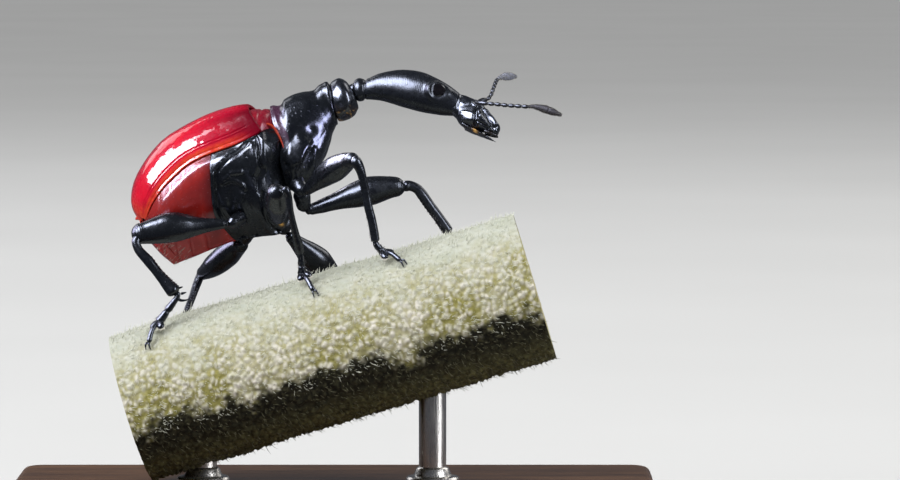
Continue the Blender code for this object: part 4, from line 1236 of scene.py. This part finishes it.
# hip; stations of x, y, z and half-width down the thigh and down the shin; then the place on the
# stem of the pad and of the claws
LEGS = {
    "front_right": (
        (-0.19, -0.50, 14.62),
        ((0.11, -0.90, 14.12, 0.18), (0.57, -1.39, 14.35, 0.29), (1.08, -1.88, 14.63, 0.45),
         (1.53, -2.37, 14.79, 0.51), (1.92, -2.86, 14.89, 0.43), (2.23, -3.35, 14.91, 0.32),
         (2.42, -3.82, 14.87, 0.26)),
        ((2.34, -3.80, 14.86, 0.19), (2.51, -3.82, 14.76, 0.23), (2.67, -3.68, 14.49, 0.19),
         (2.76, -3.50, 14.16, 0.172), (2.85, -3.20, 13.68, 0.18), (2.95, -2.95, 13.12, 0.18),
         (3.07, -2.72, 12.63, 0.18), (3.16, -2.48, 12.11, 0.18), (3.20, -2.35, 11.81, 0.18)),
        (3.58, 37), (4.20, 52)),
    "front_left": (
        (-0.12, 0.50, 14.35),
        ((-0.01, 0.90, 13.74, 0.20), (0.65, 1.02, 13.98, 0.28), (1.32, 1.14, 14.24, 0.37),
         (1.98, 1.26, 14.48, 0.52), (2.64, 1.38, 14.69, 0.585), (3.31, 1.50, 14.84, 0.46),
         (3.71, 1.62, 14.90, 0.385), (3.91, 1.74, 14.95, 0.34)),
        ((3.82, 1.80, 14.93, 0.20), (3.96, 1.85, 14.96, 0.22), (4.15, 1.92, 14.99, 0.21),
         (4.42, 2.00, 14.89, 0.20), (4.65, 2.10, 14.64, 0.215), (4.95, 2.25, 14.22, 0.21),
         (5.25, 2.38, 13.83, 0.21), (5.55, 2.50, 13.41, 0.215), (5.72, 2.60, 13.15, 0.22)),
        (6.72, -42), (7.25, -54)),
    "mid_right": (
        (-0.96, -1.00, 13.33),
        ((-0.80, -1.35, 12.88, 0.22), (-0.78, -1.78, 13.00, 0.30), (-0.74, -2.20, 13.11, 0.40),
         (-0.71, -2.65, 13.22, 0.47), (-0.68, -3.10, 13.33, 0.51), (-0.65, -3.50, 13.43, 0.46),
         (-0.62, -3.90, 13.52, 0.36), (-0.60, -4.22, 13.58, 0.27)),
        ((-0.32, -4.40, 13.59, 0.14), (-0.17, -4.38, 13.50, 0.15), (-0.09, -4.20, 13.29, 0.13),
         (-0.06, -4.05, 13.02, 0.118), (-0.04, -3.85, 12.75, 0.118), (0.03, -3.45, 12.30, 0.13),
         (0.10, -3.05, 11.91, 0.155), (0.17, -2.75, 11.63, 0.18), (0.21, -2.45, 11.35, 0.175)),
        (0.16, 34), (0.50, 56)),
    "mid_left": (
        (-1.00, 1.00, 13.33),
        ((-0.76, 1.30, 12.90, 0.20), (-0.48, 1.59, 12.67, 0.28), (-0.20, 1.87, 12.44, 0.40),
         (0.08, 2.16, 12.21, 0.52), (0.37, 2.44, 11.98, 0.57), (0.65, 2.73, 11.75, 0.50),
         (0.93, 3.01, 11.52, 0.38), (1.21, 3.30, 11.29, 0.28)),
        ((1.15, 3.32, 11.26, 0.16), (1.33, 3.63, 10.86, 0.16), (1.44, 3.76, 10.20, 0.155),
         (1.56, 3.88, 9.40, 0.18), (1.67, 3.98, 8.54, 0.20)),
        (0.65, -97), (0.80, -112)),
    "hind_right": (
        (-2.20, -1.10, 13.15),
        ((-2.75, -1.84, 12.67, 0.165), (-3.09, -1.94, 12.66, 0.21), (-3.58, -2.04, 12.60, 0.28),
         (-4.07, -2.14, 12.54, 0.40), (-4.56, -2.24, 12.50, 0.55), (-5.05, -2.35, 12.45, 0.61),
         (-5.53, -2.45, 12.33, 0.555), (-6.02, -2.55, 12.20, 0.45), (-6.30, -2.65, 12.14, 0.40),
         (-6.50, -2.75, 12.09, 0.36)),
        ((-6.24, -2.75, 12.04, 0.15), (-6.34, -2.76, 11.79, 0.17), (-6.23, -2.75, 11.48, 0.175),
         (-6.05, -2.73, 11.26, 0.19), (-5.82, -2.70, 11.01, 0.205), (-5.48, -2.64, 10.59, 0.19),
         (-5.11, -2.55, 10.15, 0.235), (-4.85, -2.48, 9.86, 0.29), (-4.73, -2.45, 9.73, 0.29)),
        (-5.99, 41), (-6.46, 58)),
    "hind_left": (
        (-2.20, 1.10, 13.15),
        ((-2.62, 1.84, 12.63, 0.28), (-2.97, 2.41, 12.61, 0.42), (-3.40, 2.98, 12.39, 0.51),
         (-3.96, 3.56, 12.09, 0.47), (-4.41, 4.13, 11.92, 0.33), (-4.67, 4.70, 11.93, 0.26)),
        ((-4.64, 4.68, 12.05, 0.17), (-4.68, 4.62, 11.91, 0.18), (-4.77, 4.45, 11.62, 0.175),
         (-4.87, 4.20, 11.19, 0.16), (-4.95, 3.95, 10.79, 0.148), (-5.04, 3.70, 10.41, 0.142),
         (-5.12, 3.50, 10.08, 0.14), (-5.21, 3.30, 9.76, 0.14)),
        (-5.40, -50), (-5.90, -64)),
}
COXAE = {"front": (0.36, 0.22), "mid": (0.38, 0.24), "hind": (0.30, 0.20)}  # radii at hip and thigh
LIMB_ROWS = 170


def beyond(centre, towards, distance):
    """The place at a distance from the centre on the line to another place."""
    centre = np.array(centre, float)
    way = np.array(towards, float) - centre
    return centre + way * distance / np.linalg.norm(way)


def add_leg(leg, black, setae, pad_hair):
    hip, thigh, shin_line, pad, claw = LEGS[leg]
    seed = 100 + 10 * list(LEGS).index(leg)
    trochanter, knee, ankle = (np.array(row[:3]) for row in (thigh[0], thigh[-1], shin_line[-1]))
    # the normal of the leg's plane, the way down the shin and the way to its inner side
    plane = unit(np.cross(knee - trochanter, ankle - knee))
    shin = unit(ankle - np.array(shin_line[-3][:3]))
    inner = -unit(knee - trochanter - shin * np.dot(knee - trochanter, shin))
    add_coxa(leg, hip, trochanter, black, seed)
    add_femur(leg, thigh, plane, black, seed)
    add_tibia(leg, shin_line, plane, ankle, shin, inner, [black, setae], seed)
    add_foot(leg, ankle, shin, on_stem(pad[0], 0.13, pad[1]), on_stem(claw[0], -0.03, claw[1]),
             [black, setae, pad_hair], seed)


def add_coxa(leg, hip, trochanter, black, seed):
    """The hip joint: a short stout cone that ends at the trochanter."""
    wide, slim = COXAE[leg.split("_")[0]]
    layers = limb((beyond(trochanter, hip, 1.0), beyond(trochanter, hip, 0.5), trochanter),
                  lambda t: wide + (slim - wide) * t ** 2, 60, 40, (0.2, 1, 0.1))
    relief = 0.012 * ripple(layers, (0.3, 0.3, 0.12), seed) + GRAIN * pits(layers, 0.15, seed, 0.16)
    shape = Shape()
    shape.grid(swell(layers, relief))
    shape.piece(f"leg_{leg}_coxa_shell", [black], "leg_shell", [f"leg_{leg}_coxa"])


def add_femur(leg, thigh, plane, black, seed):
    """The thigh, with fine rings before the knee and a notch after the trochanter."""
    layers = member(thigh, LIMB_ROWS, 56, plane, caps=(1.0, 0.9))
    t = np.linspace(0, 1, LIMB_ROWS)[:, None]
    rings = 0.5 + 0.5 * np.sin(t * 2 * pi * 34)
    relief = 0.007 * rings * step_between(t, 0.82, 0.88) * (1 - step_between(t, 0.96, 1.0))
    relief = relief + waves(layers, (0.010, 0.4, seed + 1), (0.002, 0.1, seed + 2))
    relief = relief - 0.035 * bump_at(t, 0.075, 0.02)
    shape = Shape()
    shape.grid(swell(layers, relief))
    shape.piece(f"leg_{leg}_femur_shell", [black], "leg_shell", [f"leg_{leg}_femur"])


def add_tibia(leg, line, plane, ankle, shin, inner, looks, seed):
    """The shin, keeled and finely toothed inside, with its spurs; the hind one ends in a hook."""
    sides = 36
    layers = member(line, LIMB_ROWS, sides, plane, caps=(1.0, 0.7))
    t = np.linspace(0, 1, LIMB_ROWS)[:, None]
    around = 2 * pi * np.arange(sides)[None, :] / sides
    keels = 0.006 * np.cos(around * 4) * step_between(t, 0.2, 0.3)
    teeth = 0.020 * bump_at(np.cos(around), -1.0, 0.08) * np.maximum(np.sin(t * 2 * pi * 24), 0)
    relief = keels + teeth * step_between(t, 0.35, 0.45) + 0.004 * ripple(layers, 0.15, seed + 3)
    layers = swell(layers, relief)
    shape = Shape()
    shape.grid(layers)
    down(shape, layers[90:-8, 12:25], 46, 0.12, 0.0055, seed + 5, lie=0.7, closed=False)
    if leg.startswith("hind"):
        hook = (ankle - shin * 0.06, ankle + shin * 0.25 - inner * 0.06,
                ankle + shin * 0.42 + inner * 0.09, ankle + shin * 0.50 + inner * 0.28)
        shape.grid(limb(hook, lambda t: 0.10 * (1 - 0.82 * t), 30, 16, plane))
        for down_shin, reach in ((-0.14, 0.40), (0.12, 0.36)):
            spur = (ankle + shin * down_shin + inner * 0.14,
                    ankle + shin * (down_shin + 0.10) + inner * reach)
            shape.grid(limb(spur, lambda t: 0.07 * (1 - 0.7 * t), 16, 12, plane))
    else:
        spur = (ankle - shin * 0.08 + inner * 0.10, ankle - shin * 0.02 + inner * 0.27)
        shape.grid(limb(spur, lambda t: 0.065 * (1 - 0.7 * t), 16, 12, plane))
    shape.piece(f"leg_{leg}_tibia_shell", looks, "leg_shell", [f"leg_{leg}_tibia"])


def joint(line, thin, wide):
    """A tarsal joint that widens to a rounded end."""
    t = np.linspace(0, 1, len(line))
    tail = np.clip(1 - np.clip((t - 0.80) / 0.205, 0, 1) ** 2, 0.02, 1)
    head = np.clip(1 - (1 - np.clip(t / 0.12, 0, 1)) ** 2, 0.1, 1)
    return (thin + (wide - thin) * t ** 1.2) * np.sqrt(tail * head)


def add_foot(leg, ankle, shin, pad, claw, looks, seed):
    """Two short joints, a two-lobed one with a pale sole, and the claw joint with two claws."""
    shape = Shape()
    # up leads out of the stem at the pad, way leads along its surface to the claws
    centre = STEM_POINT + STEM_AXIS * np.dot(pad - STEM_POINT, STEM_AXIS)
    up = unit(pad - centre)
    way = unit(claw - pad - up * np.dot(claw - pad, up))
    across = np.cross(up, way)
    line = curve((ankle - shin * 0.10, ankle + shin * 0.10,
                  ankle * 0.55 + pad * 0.45 + shin * 0.08 + up * 0.06, pad + up * 0.09), 60)
    for low, high, thin, wide in ((0, 36, 0.095, 0.165), (32, 54, 0.13, 0.20)):
        layers = tube(line[low:high], joint(line[low:high], thin, wide), 24, across)
        shape.grid(swell(layers, 0.004 * ripple(layers, 0.08, seed + 6)))
        down(shape, layers, 24, 0.10, 0.0055, seed + 7)
    # the two lobes and their soles
    root = line[51]
    for turn in (-1, 1):
        lobe = curve((root, root + way * 0.16 + across * turn * 0.13 - up * 0.01,
                      root + way * 0.36 + across * turn * 0.22 - up * 0.09), 30)
        t = np.linspace(0, 1, 30)
        radii = 0.145 * np.sqrt(np.clip(1 - (2 * np.clip(t, 0.02, 0.985) - 1) ** 4, 0.02, 1))
        shape.grid(tube(lobe, radii, 20, up, 0.75))
        layers = tube(lobe[3:] - up * 0.055, radii[3:] * 1.02, 18, up, 0.6)
        shape.grid(layers, slot=2, tip=0.6)
        down(shape, layers, 90, 0.07, 0.006, seed + 8 + turn, lie=0.1, slot=2)
    # the claw joint and the claws
    start = root + way * 0.06 + up * 0.05
    knuckle = claw + up * 0.19 - way * 0.14
    stalk = (start, start * 0.5 + knuckle * 0.5 + up * 0.12, knuckle)
    shape.grid(limb(stalk, lambda t: 0.08 + 0.03 * t, 40, 20, across))
    for turn in (-1, 1):
        hook = (knuckle + across * turn * 0.03,
                knuckle + way * 0.12 + across * turn * 0.07 + up * 0.01,
                claw + way * 0.05 + across * turn * 0.10 + up * 0.03,
                claw + across * turn * 0.09 - up * 0.03)
        shape.grid(limb(hook, lambda t: 0.058 * (1 - 0.75 * t), 30, 14, across))
    shape.piece(f"leg_{leg}_tarsus_shell", looks, "leg_shell", [f"leg_{leg}_tarsus"])


# ---- perch -----------------------------------------------------------

def stem_surface(along, angle):
    """At places along and round the stem: where its plain round side is and which way it faces,
    the bark's height over it, how hollow it is, how dark underneath with dirt and painted shade,
    and how near it lies to the edge of that dark. An angle of 0 is the top and a quarter turn is the
    weevil's right."""
    out = np.cos(angle)[..., None] * STEM_UP + np.sin(angle)[..., None] * RIGHT
    plain = STEM_POINT + along[..., None] * STEM_AXIS + STEM_RADIUS * out
    around = (np.degrees(angle) + 180) % 360 - 180
    low = abs(around) + 8 * ripple(plain, 1.5, 207) + 9 * ripple(plain, 0.45, 209)
    low = low + 5 * ripple(plain, 0.16, 210)
    near_edge = step_between(low, 25, 92)
    # the underside turns dark: dirt and painted shade
    soot = step_between(low, 96, 110)
    bent = plain + 0.10 * ripple(plain, 0.26, 215)[..., None] * np.array((1.0, -1.0, 1.0))
    knobs = np.exp(-(nearest(bent, (0.20, 0.25, 0.26), 201) / 0.50) ** 2)
    fine = ripple(plain, 0.13, 205)
    height = waves(plain, (0.04, 2.4, 203), (0.03, 0.6, 204)) + 0.028 * fine
    height = height + (0.03 + 0.10 * near_edge) * (knobs - 0.5)
    hollow = np.clip((0.72 - knobs) * 1.7 + 0.40 * fine, 0, 1) * (0.15 + 0.80 * near_edge)
    hollow = np.clip(hollow + 0.40 * ripple(plain, 1.1, 211) * near_edge, 0, 1)
    return plain, out, height, hollow, soot, near_edge


def add_bark(bark):
    rows, sides = 460, 400
    along = np.linspace(STEM_ENDS[0], STEM_ENDS[1], rows)[:, None] * np.ones((1, sides))
    angle = np.ones((rows, 1)) * (2 * pi * np.arange(sides) / sides)[None, :]
    plain, out, height, hollow, soot, near_edge = stem_surface(along, angle)
    layers = plain + out * (height - 0.03)[..., None]
    turned = abs((np.degrees(angle) + 180) % 360 - 180)
    # the blackest band of that dark lies just under its edge, browner further down
    deep = soot * (0.25 + 0.75 * (1 - step_between(turned, 118, 150)))
    shape = Shape()
    shape.grid(layers, ends=(False, False), hollow=hollow, soot=soot, deep=deep, rosy=near_edge)
    shape.piece("perch_bark", [bark], "plant_stem", ["perch_stem"], UPRIGHT)
    return layers


def add_cut_ends(bark_layers, cut):
    """Both ends of the stem: pith, wood and rind in a slightly domed disc."""
    shape = Shape()
    for end, push in ((0, -1), (-1, 1)):
        middle = STEM_POINT + STEM_AXIS * STEM_ENDS[end]
        rim = bark_layers[end]
        share = np.linspace(1, 0.004, 60)[:, None, None]
        disc = middle + (rim - middle)[None] * share
        ring = share[..., 0] * np.ones((1, len(rim)))
        rough = 0.03 * ripple(disc, 0.2, 221)
        hump = 0.05 * (1 - ring ** 6) + rough * (1 - ring ** 8) - 0.05 * bump_at(ring, 0.9, 0.03)
        depth = push * (0.05 - hump) * (1 - bump_at(ring, 1.0, 0.01))
        shape.grid(disc - STEM_AXIS * depth[..., None], ends=(False, True), ring=ring)
    shape.piece("perch_cut_ends", [cut], "plant_stem", [], UPRIGHT)


HAIR_STEPS = np.array((0.0, 0.4, 0.75, 1.0))                # along the length of a bark hair
HAIR_RADII = np.array((0.013, 0.0105, 0.007, 0.002))        # at these steps


def coat_piece(name, count, look, low, high, seed):
    """Fine hairs on the bark between two angles from its top, joined as one mesh."""
    chance = np.random.default_rng(seed)
    along = chance.uniform(STEM_ENDS[0] + 0.05, STEM_ENDS[1] - 0.05, count)
    angle = np.radians(chance.uniform(low, high, count)) * chance.choice((-1, 1), count)
    plain, out, height, *_ = stem_surface(along, angle)
    size = chance.uniform(0.09, 0.26, count) * np.where(chance.random(count) < 0.03, 1.9, 1.0)
    sideways = np.cross(STEM_AXIS, out)
    lean = (chance.uniform(-0.25, 0.95, count)[:, None] * STEM_AXIS
            + chance.uniform(-0.6, 0.6, count)[:, None] * sideways)
    way = unit(out + lean)
    curl = chance.uniform(-0.25, 0.25, (count, 3)) + 0.2 * STEM_AXIS
    # each hair is a curved path of four places, with three points round each
    root = plain + out * (height - 0.06)[:, None]
    radii = HAIR_RADII * chance.uniform(0.8, 1.25, count)[:, None]
    path = (root[:, None] + way[:, None] * (size[:, None] * HAIR_STEPS)[..., None]
            + curl[:, None] * (size[:, None] * HAIR_STEPS ** 2)[..., None])
    above_base = path[:, -1, 2] > BASE_SIZE[2] + 0.06
    path, radii, way, along, angle = (a[above_base] for a in (path, radii, way, along, angle))
    count = len(path)
    side = unit(np.cross(way, STEM_AXIS + 0.01))
    lift = np.cross(side, way)
    turn = 2 * pi * np.arange(3) / 3
    ring = np.cos(turn)[None, :, None] * side[:, None] + np.sin(turn)[None, :, None] * lift[:, None]
    points = path[:, :, None] + radii[:, :, None, None] * ring[:, None]
    index = np.arange(count * 12).reshape(count, 4, 3)      # hair, step along it, corner
    after = np.roll(index, -1, 2)
    quads = np.stack((index[:, :-1], after[:, :-1], after[:, 1:], index[:, 1:]), axis=-1)
    ends = np.concatenate((index[:, 0, ::-1], index[:, -1]))
    mesh = bpy.data.meshes.new(name)
    mesh.from_pydata(points.reshape(-1, 3).tolist(), [],
                     quads.reshape(-1, 4).tolist() + ends.tolist())
    tips = np.broadcast_to(HAIR_STEPS[None, :, None], index.shape).ravel()
    mesh.attributes.new("tip", "FLOAT", "POINT").data.foreach_set("value", tips.astype(np.float32))
    mesh.transform(UPRIGHT)
    mesh.materials.append(look)
    mesh.shade_smooth()
    paint_map(mesh, along, angle, low, high, 12)
    return keep(name, mesh, [])


PATCH = 0.003           # width of a hair's patch in its UV map


def paint_map(mesh, along, angle, low, high, per_hair):
    """The OFBake map: each hair is a small patch at its root's place on the unrolled bark."""
    u = (along - STEM_ENDS[0]) / (STEM_ENDS[1] - STEM_ENDS[0])
    turned = (abs(np.degrees(angle)) - low) / (high - low)
    v = np.where(angle < 0, 0.5 - 0.5 * turned, 0.5 + 0.5 * turned)
    corner = np.zeros(len(mesh.loops), np.int32)
    mesh.loops.foreach_get("vertex_index", corner)
    owner = corner // per_hair
    place = corner % per_hair
    step = place // 3 / 3
    turn = place % 3 / 2 - 0.5
    uv = np.stack((0.002 + 0.996 * u[owner] + PATCH * (step - 0.5) * 0.9,
                   0.002 + 0.996 * v[owner] + PATCH * turn * 0.9), axis=-1)
    layer = mesh.uv_layers.new(name="OFBake")
    layer.data.foreach_set("uv", np.clip(uv, 0, 1).ravel().astype(np.float32))


# ---- stand -----------------------------------------------------------

BASE_CORNER, BASE_TOP_EDGE, BASE_FOOT_EDGE = 0.9, 0.45, 0.12     # widths of its roundings
# turned collar of a rod where it leaves the base: radius, height over the base
COLLAR_PROFILE = ((ROD_RADIUS, 0.02), (0.98, 0.02), (1.06, 0.08), (1.06, 0.22), (1.0, 0.30),
                  (0.78, 0.34), (0.72, 0.44), (0.66, 0.62), (0.60, 0.68), (ROD_RADIUS, 0.70))


def add_base(wood):
    """A flat block with rounded corners and edges."""
    mesh = bpy.data.meshes.new("stand_base_block")
    work = bmesh.new()
    bmesh.ops.create_cube(work, size=1.0)
    bmesh.ops.scale(work, vec=BASE_SIZE, verts=work.verts)
    bmesh.ops.translate(work, vec=(BASE_MIDDLE_X, 0.0, BASE_SIZE[2] / 2), verts=work.verts)
    upright = [e for e in work.edges if abs(e.verts[0].co.z - e.verts[1].co.z) > 1]
    bmesh.ops.bevel(work, geom=upright, offset=BASE_CORNER, segments=8, affect="EDGES",
                    profile=0.5)
    rims = [e for e in work.edges
            if abs(e.verts[0].co.z - e.verts[1].co.z) < 1e-4 and e.calc_face_angle(0) > 1]
    top = [e for e in rims if e.verts[0].co.z > 1]
    low = [e for e in rims if e.verts[0].co.z < 1]
    bmesh.ops.bevel(work, geom=top, offset=BASE_TOP_EDGE, segments=6, affect="EDGES", profile=0.6)
    low = [e for e in low if e.is_valid]
    bmesh.ops.bevel(work, geom=low, offset=BASE_FOOT_EDGE, segments=2, affect="EDGES")
    work.to_mesh(mesh)
    work.free()
    mesh.transform(UPRIGHT)
    mesh.materials.append(wood)
    mesh.shade_smooth()
    mesh.set_sharp_from_angle(angle=radians(40))
    keep("stand_base_block", mesh, ["stand_base"])


def add_rod(number, x, metal):
    low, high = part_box(f"stand_rod_{number}")
    collar = [(radius, BASE_SIZE[2] + height) for radius, height in COLLAR_PROFILE]
    profile = [(ROD_RADIUS, low.z / MM), *collar, (ROD_RADIUS, high.z / MM)]
    sides = 64
    angle = 2 * pi * np.arange(sides) / sides
    rings = np.array([
        np.stack((x + radius * np.cos(angle), radius * np.sin(angle), np.full(sides, z)), axis=-1)
        for radius, z in profile])
    shape = Shape()
    shape.grid(rings)
    rod = shape.piece(f"stand_rod_{number}_turned", [metal], "stand_metal",
                      [f"stand_rod_{number}"], UPRIGHT)
    rod.data.set_sharp_from_angle(angle=radians(35))


# ---- stage, lights and camera ----------------------------------------

def add_stage():
    mesh = bpy.data.meshes.new("floor")
    size = 3000.0
    corners = [(-size, -size, 0), (size, -size, 0), (size, size, 0), (-size, size, 0)]
    mesh.from_pydata(corners, [], [(0, 1, 2, 3)])
    mesh.transform(UPRIGHT)
    look = Look("floor_card", Specular_IOR_Level=0.1, Roughness=0.9)
    look.colour(look.blend(look.noise(40.0, 2.0), (0.56, 0.56, 0.55), (0.58, 0.58, 0.57)))
    mesh.materials.append(look.material)
    floor = bpy.data.objects.new("floor", mesh)
    bpy.context.scene.collection.objects.link(floor)
    floor.visible_glossy = False


LIGHT_TARGET = Vector((1.0, 0.0, 13.0))
# lights for the gloss only, each on the pieces with some of the looks: azimuth, elevation,
# distance, size, radiance, colour, turn, looks
GLINTS = {
    "key_glint_body": (-62, 41, 270, (140, 260), 36.0, (0.90, 0.91, 1.0), -14, (
        "wing_case_red", "abdomen_red", "cuticle_black", "thorax_black", "leg_black")),
    "key_glint_head": (-42, 40, 262, (270, 200), 34.0, (0.88, 0.90, 1.0), -8, (
        "head_black", "bright_black", "front_leg_black", "feeler_black")),
    "low_glint_body": (-108, 20, 250, (130, 150), 14.0, (0.78, 0.74, 1.0), 0, (
        "cuticle_black", "thorax_black", "head_black", "bright_black", "leg_black")),
    "low_glint_front": (-122, 24, 245, (230, 170), 34.0, (0.86, 0.84, 1.0), 0, (
        "front_leg_black",)),
    "top_glint_red": (-75, 67, 262, (44, 70), 15.0, (0.95, 0.90, 1.0), 0, ("wing_case_red",)),
    "rear_glint_red": (-88, 38, 258, (90, 150), 30.0, (0.92, 0.90, 1.0), 0, ("wing_case_red",)),
    "top_glint_thorax": (-60, 62, 255, (200, 90), 28.0, (0.92, 0.94, 1.0), 0, ("thorax_black",)),
    "side_glint": (64, 18, 270, (80, 200), 18.0, (0.93, 0.95, 1.0), 0, (
        "wing_case_red", "abdomen_red", "waist_red", "thorax_black", "head_black",
        "bright_black", "leg_black", "front_leg_black", "feeler_black", "stand_steel",
        "stand_walnut")),
    "side_glint_body": (70, 5, 262, (130, 90), 34.0, (0.74, 0.74, 1.0), 0, ("cuticle_black",)),
}


def soft_box(name, azimuth, elevation, distance, size, radiance, colour, turn=0):
    """An area light aimed at the weevil; azimuth 0 is the camera's side."""
    light = bpy.data.lights.new(name, "AREA")
    light.shape = "RECTANGLE"
    light.size, light.size_y = size[0] * MM, size[1] * MM
    light.color = colour
    light.energy = radiance * pi * light.size * light.size_y
    holder = bpy.data.objects.new(name, light)
    a, e = radians(azimuth), radians(elevation)
    away = Vector((sin(a) * cos(e), -cos(a) * cos(e), sin(e)))
    place = (LIGHT_TARGET + away * distance) * MM
    facing = away.to_track_quat("Z", "Y").to_matrix().to_4x4() @ Matrix.Rotation(radians(turn), 4, "Z")
    holder.matrix_world = Matrix.Translation(place) @ facing
    holder.visible_camera = False
    bpy.context.scene.collection.objects.link(holder)
    return holder


def shine_on(light, looks):
    """The light reaches only the pieces whose first material is one of these."""
    group = bpy.data.collections.new(light.name)
    for piece in bpy.context.scene.objects:
        if piece.type == "MESH" and piece.data.materials and piece.data.materials[0].name in looks:
            group.objects.link(piece)
    light.light_linking.receiver_collection = group


def add_lights():
    """Broad boxes at the left, right and back, a soft sun over all, and glints for the gloss."""
    soft_box("key_box", -62, 40, 320, (190, 300), 6.0, (0.96, 0.97, 1.0), -20).visible_glossy = False
    for name, (*place_and_light, looks) in GLINTS.items():
        glint = soft_box(name, *place_and_light)
        glint.visible_diffuse = False
        shine_on(glint, looks)
    soft_box("side_box", 64, 30, 300, (120, 200), 5.4, (1.0, 0.99, 0.97)).visible_glossy = False
    soft_box("back_box_left", -140, 32, 320, (130, 160), 2.5, (0.95, 0.96, 1.0))
    soft_box("back_box_right", 132, 34, 320, (130, 160), 3.0, (1.0, 0.98, 0.95))
    sun = bpy.data.lights.new("soft_sun", "SUN")
    sun.energy = 1.9
    sun.angle = radians(100)
    sun.color = (1.0, 0.99, 0.97)
    holder = bpy.data.objects.new("soft_sun", sun)
    holder.matrix_world = Matrix.Rotation(radians(30), 4, "X") @ Matrix.Rotation(radians(-12), 4, "Y")
    holder.visible_glossy = False
    bpy.context.scene.collection.objects.link(holder)
    world = bpy.data.worlds.new("studio")
    bpy.context.scene.world = world
    world.use_nodes = True
    sky = world.node_tree.nodes["Background"]
    sky.inputs["Color"].default_value = (0.80, 0.86, 1.0, 1.0)
    sky.inputs["Strength"].default_value = 0.12


CAMERA_TARGET = Vector((6.0, 0.0, 12.3))
CAMERA_ELEVATION = radians(4.0)
CAMERA_DISTANCE = 200.0


def add_camera():
    camera = bpy.data.objects.new("camera", bpy.data.cameras.new("camera"))
    bpy.context.scene.collection.objects.link(camera)
    camera.data.lens = 200.0
    camera.data.sensor_width = 36.0
    camera.data.clip_start = 0.001
    camera.data.clip_end = 20.0
    away = Vector((0.0, -cos(CAMERA_ELEVATION), sin(CAMERA_ELEVATION)))
    place = (CAMERA_TARGET + away * CAMERA_DISTANCE) * MM
    facing = away.to_track_quat("Z", "Y").to_matrix().to_4x4()
    camera.matrix_world = Matrix.Translation(place) @ facing
    bpy.context.scene.camera = camera
    bpy.context.scene.view_settings.view_transform = "Standard"


# the black plates: size of their grain, least and most roughness, specular level
BLACKS = {
    "cuticle_black": (0.9, 0.18, 0.30, 0.5),
    "thorax_black": (0.9, 0.18, 0.30, 0.5),
    "bright_black": (0.4, 0.18, 0.28, 0.9),
    "head_black": (0.55, 0.24, 0.33, 0.5),
    "leg_black": (0.7, 0.20, 0.30, 0.5),
    "front_leg_black": (0.7, 0.22, 0.32, 0.5),
    "feeler_black": (0.8, 0.30, 0.40, 0.5),
}
# the hairs: colour at the root and at the tip
HAIRS = {
    "club_hair": ((0.05, 0.045, 0.03), (0.20, 0.19, 0.15)),
    "dark_setae": ((0.03, 0.028, 0.03), (0.22, 0.21, 0.22)),
    "sole_hair": ((0.55, 0.52, 0.45), (0.80, 0.78, 0.72)),
    "stem_hair_pale": ((0.50, 0.52, 0.42), (0.78, 0.78, 0.70)),
    "stem_hair_grey": ((0.055, 0.052, 0.030), (0.24, 0.235, 0.15)),
}
SIDES = ((-1, "right"), (1, "left"))


def main():
    red = elytra_look()
    black = {name: black_look(name, *values) for name, values in BLACKS.items()}
    club = club_look()
    hairs = {name: hair_look(name, *colours) for name, colours in HAIRS.items()}
    add_camera()
    for side, word in SIDES:
        add_elytron(side, word, red)
    trunk = trunk_surface(*TRUNK_GRID)
    add_abdomen(trunk, abdomen_look(), hairs["stem_hair_pale"])
    add_thorax(trunk, black["thorax_black"])
    add_waist(waist_look())
    add_prothorax(black["cuticle_black"])
    add_collar(black["bright_black"])
    add_head(black["head_black"])
    eye = eye_look()
    for side, word in SIDES:
        add_eye(side, word, eye)
    add_rostrum(black["bright_black"])
    for side, word in SIDES:
        add_jaw(side, word, black["head_black"])
    for side, word in SIDES:
        add_antenna(side, word, black["feeler_black"], hairs["club_hair"], club)
    for leg in LEGS:
        shell = black["front_leg_black" if leg.startswith("front") else "leg_black"]
        add_leg(leg, shell, hairs["dark_setae"], hairs["sole_hair"])
    bark_layers = add_bark(stem_look())
    add_cut_ends(bark_layers, cut_look())
    coat_piece("perch_hairs_top", 6400, hairs["stem_hair_pale"], 0, 112, 231)
    coat_piece("perch_hairs_under", 2600, hairs["stem_hair_grey"], 100, 180, 233)
    add_base(wood_look())
    metal = metal_look()
    for number, x in enumerate(ROD_PLACES, start=1):
        add_rod(number, x, metal)
    add_stage()
    add_lights()


main()
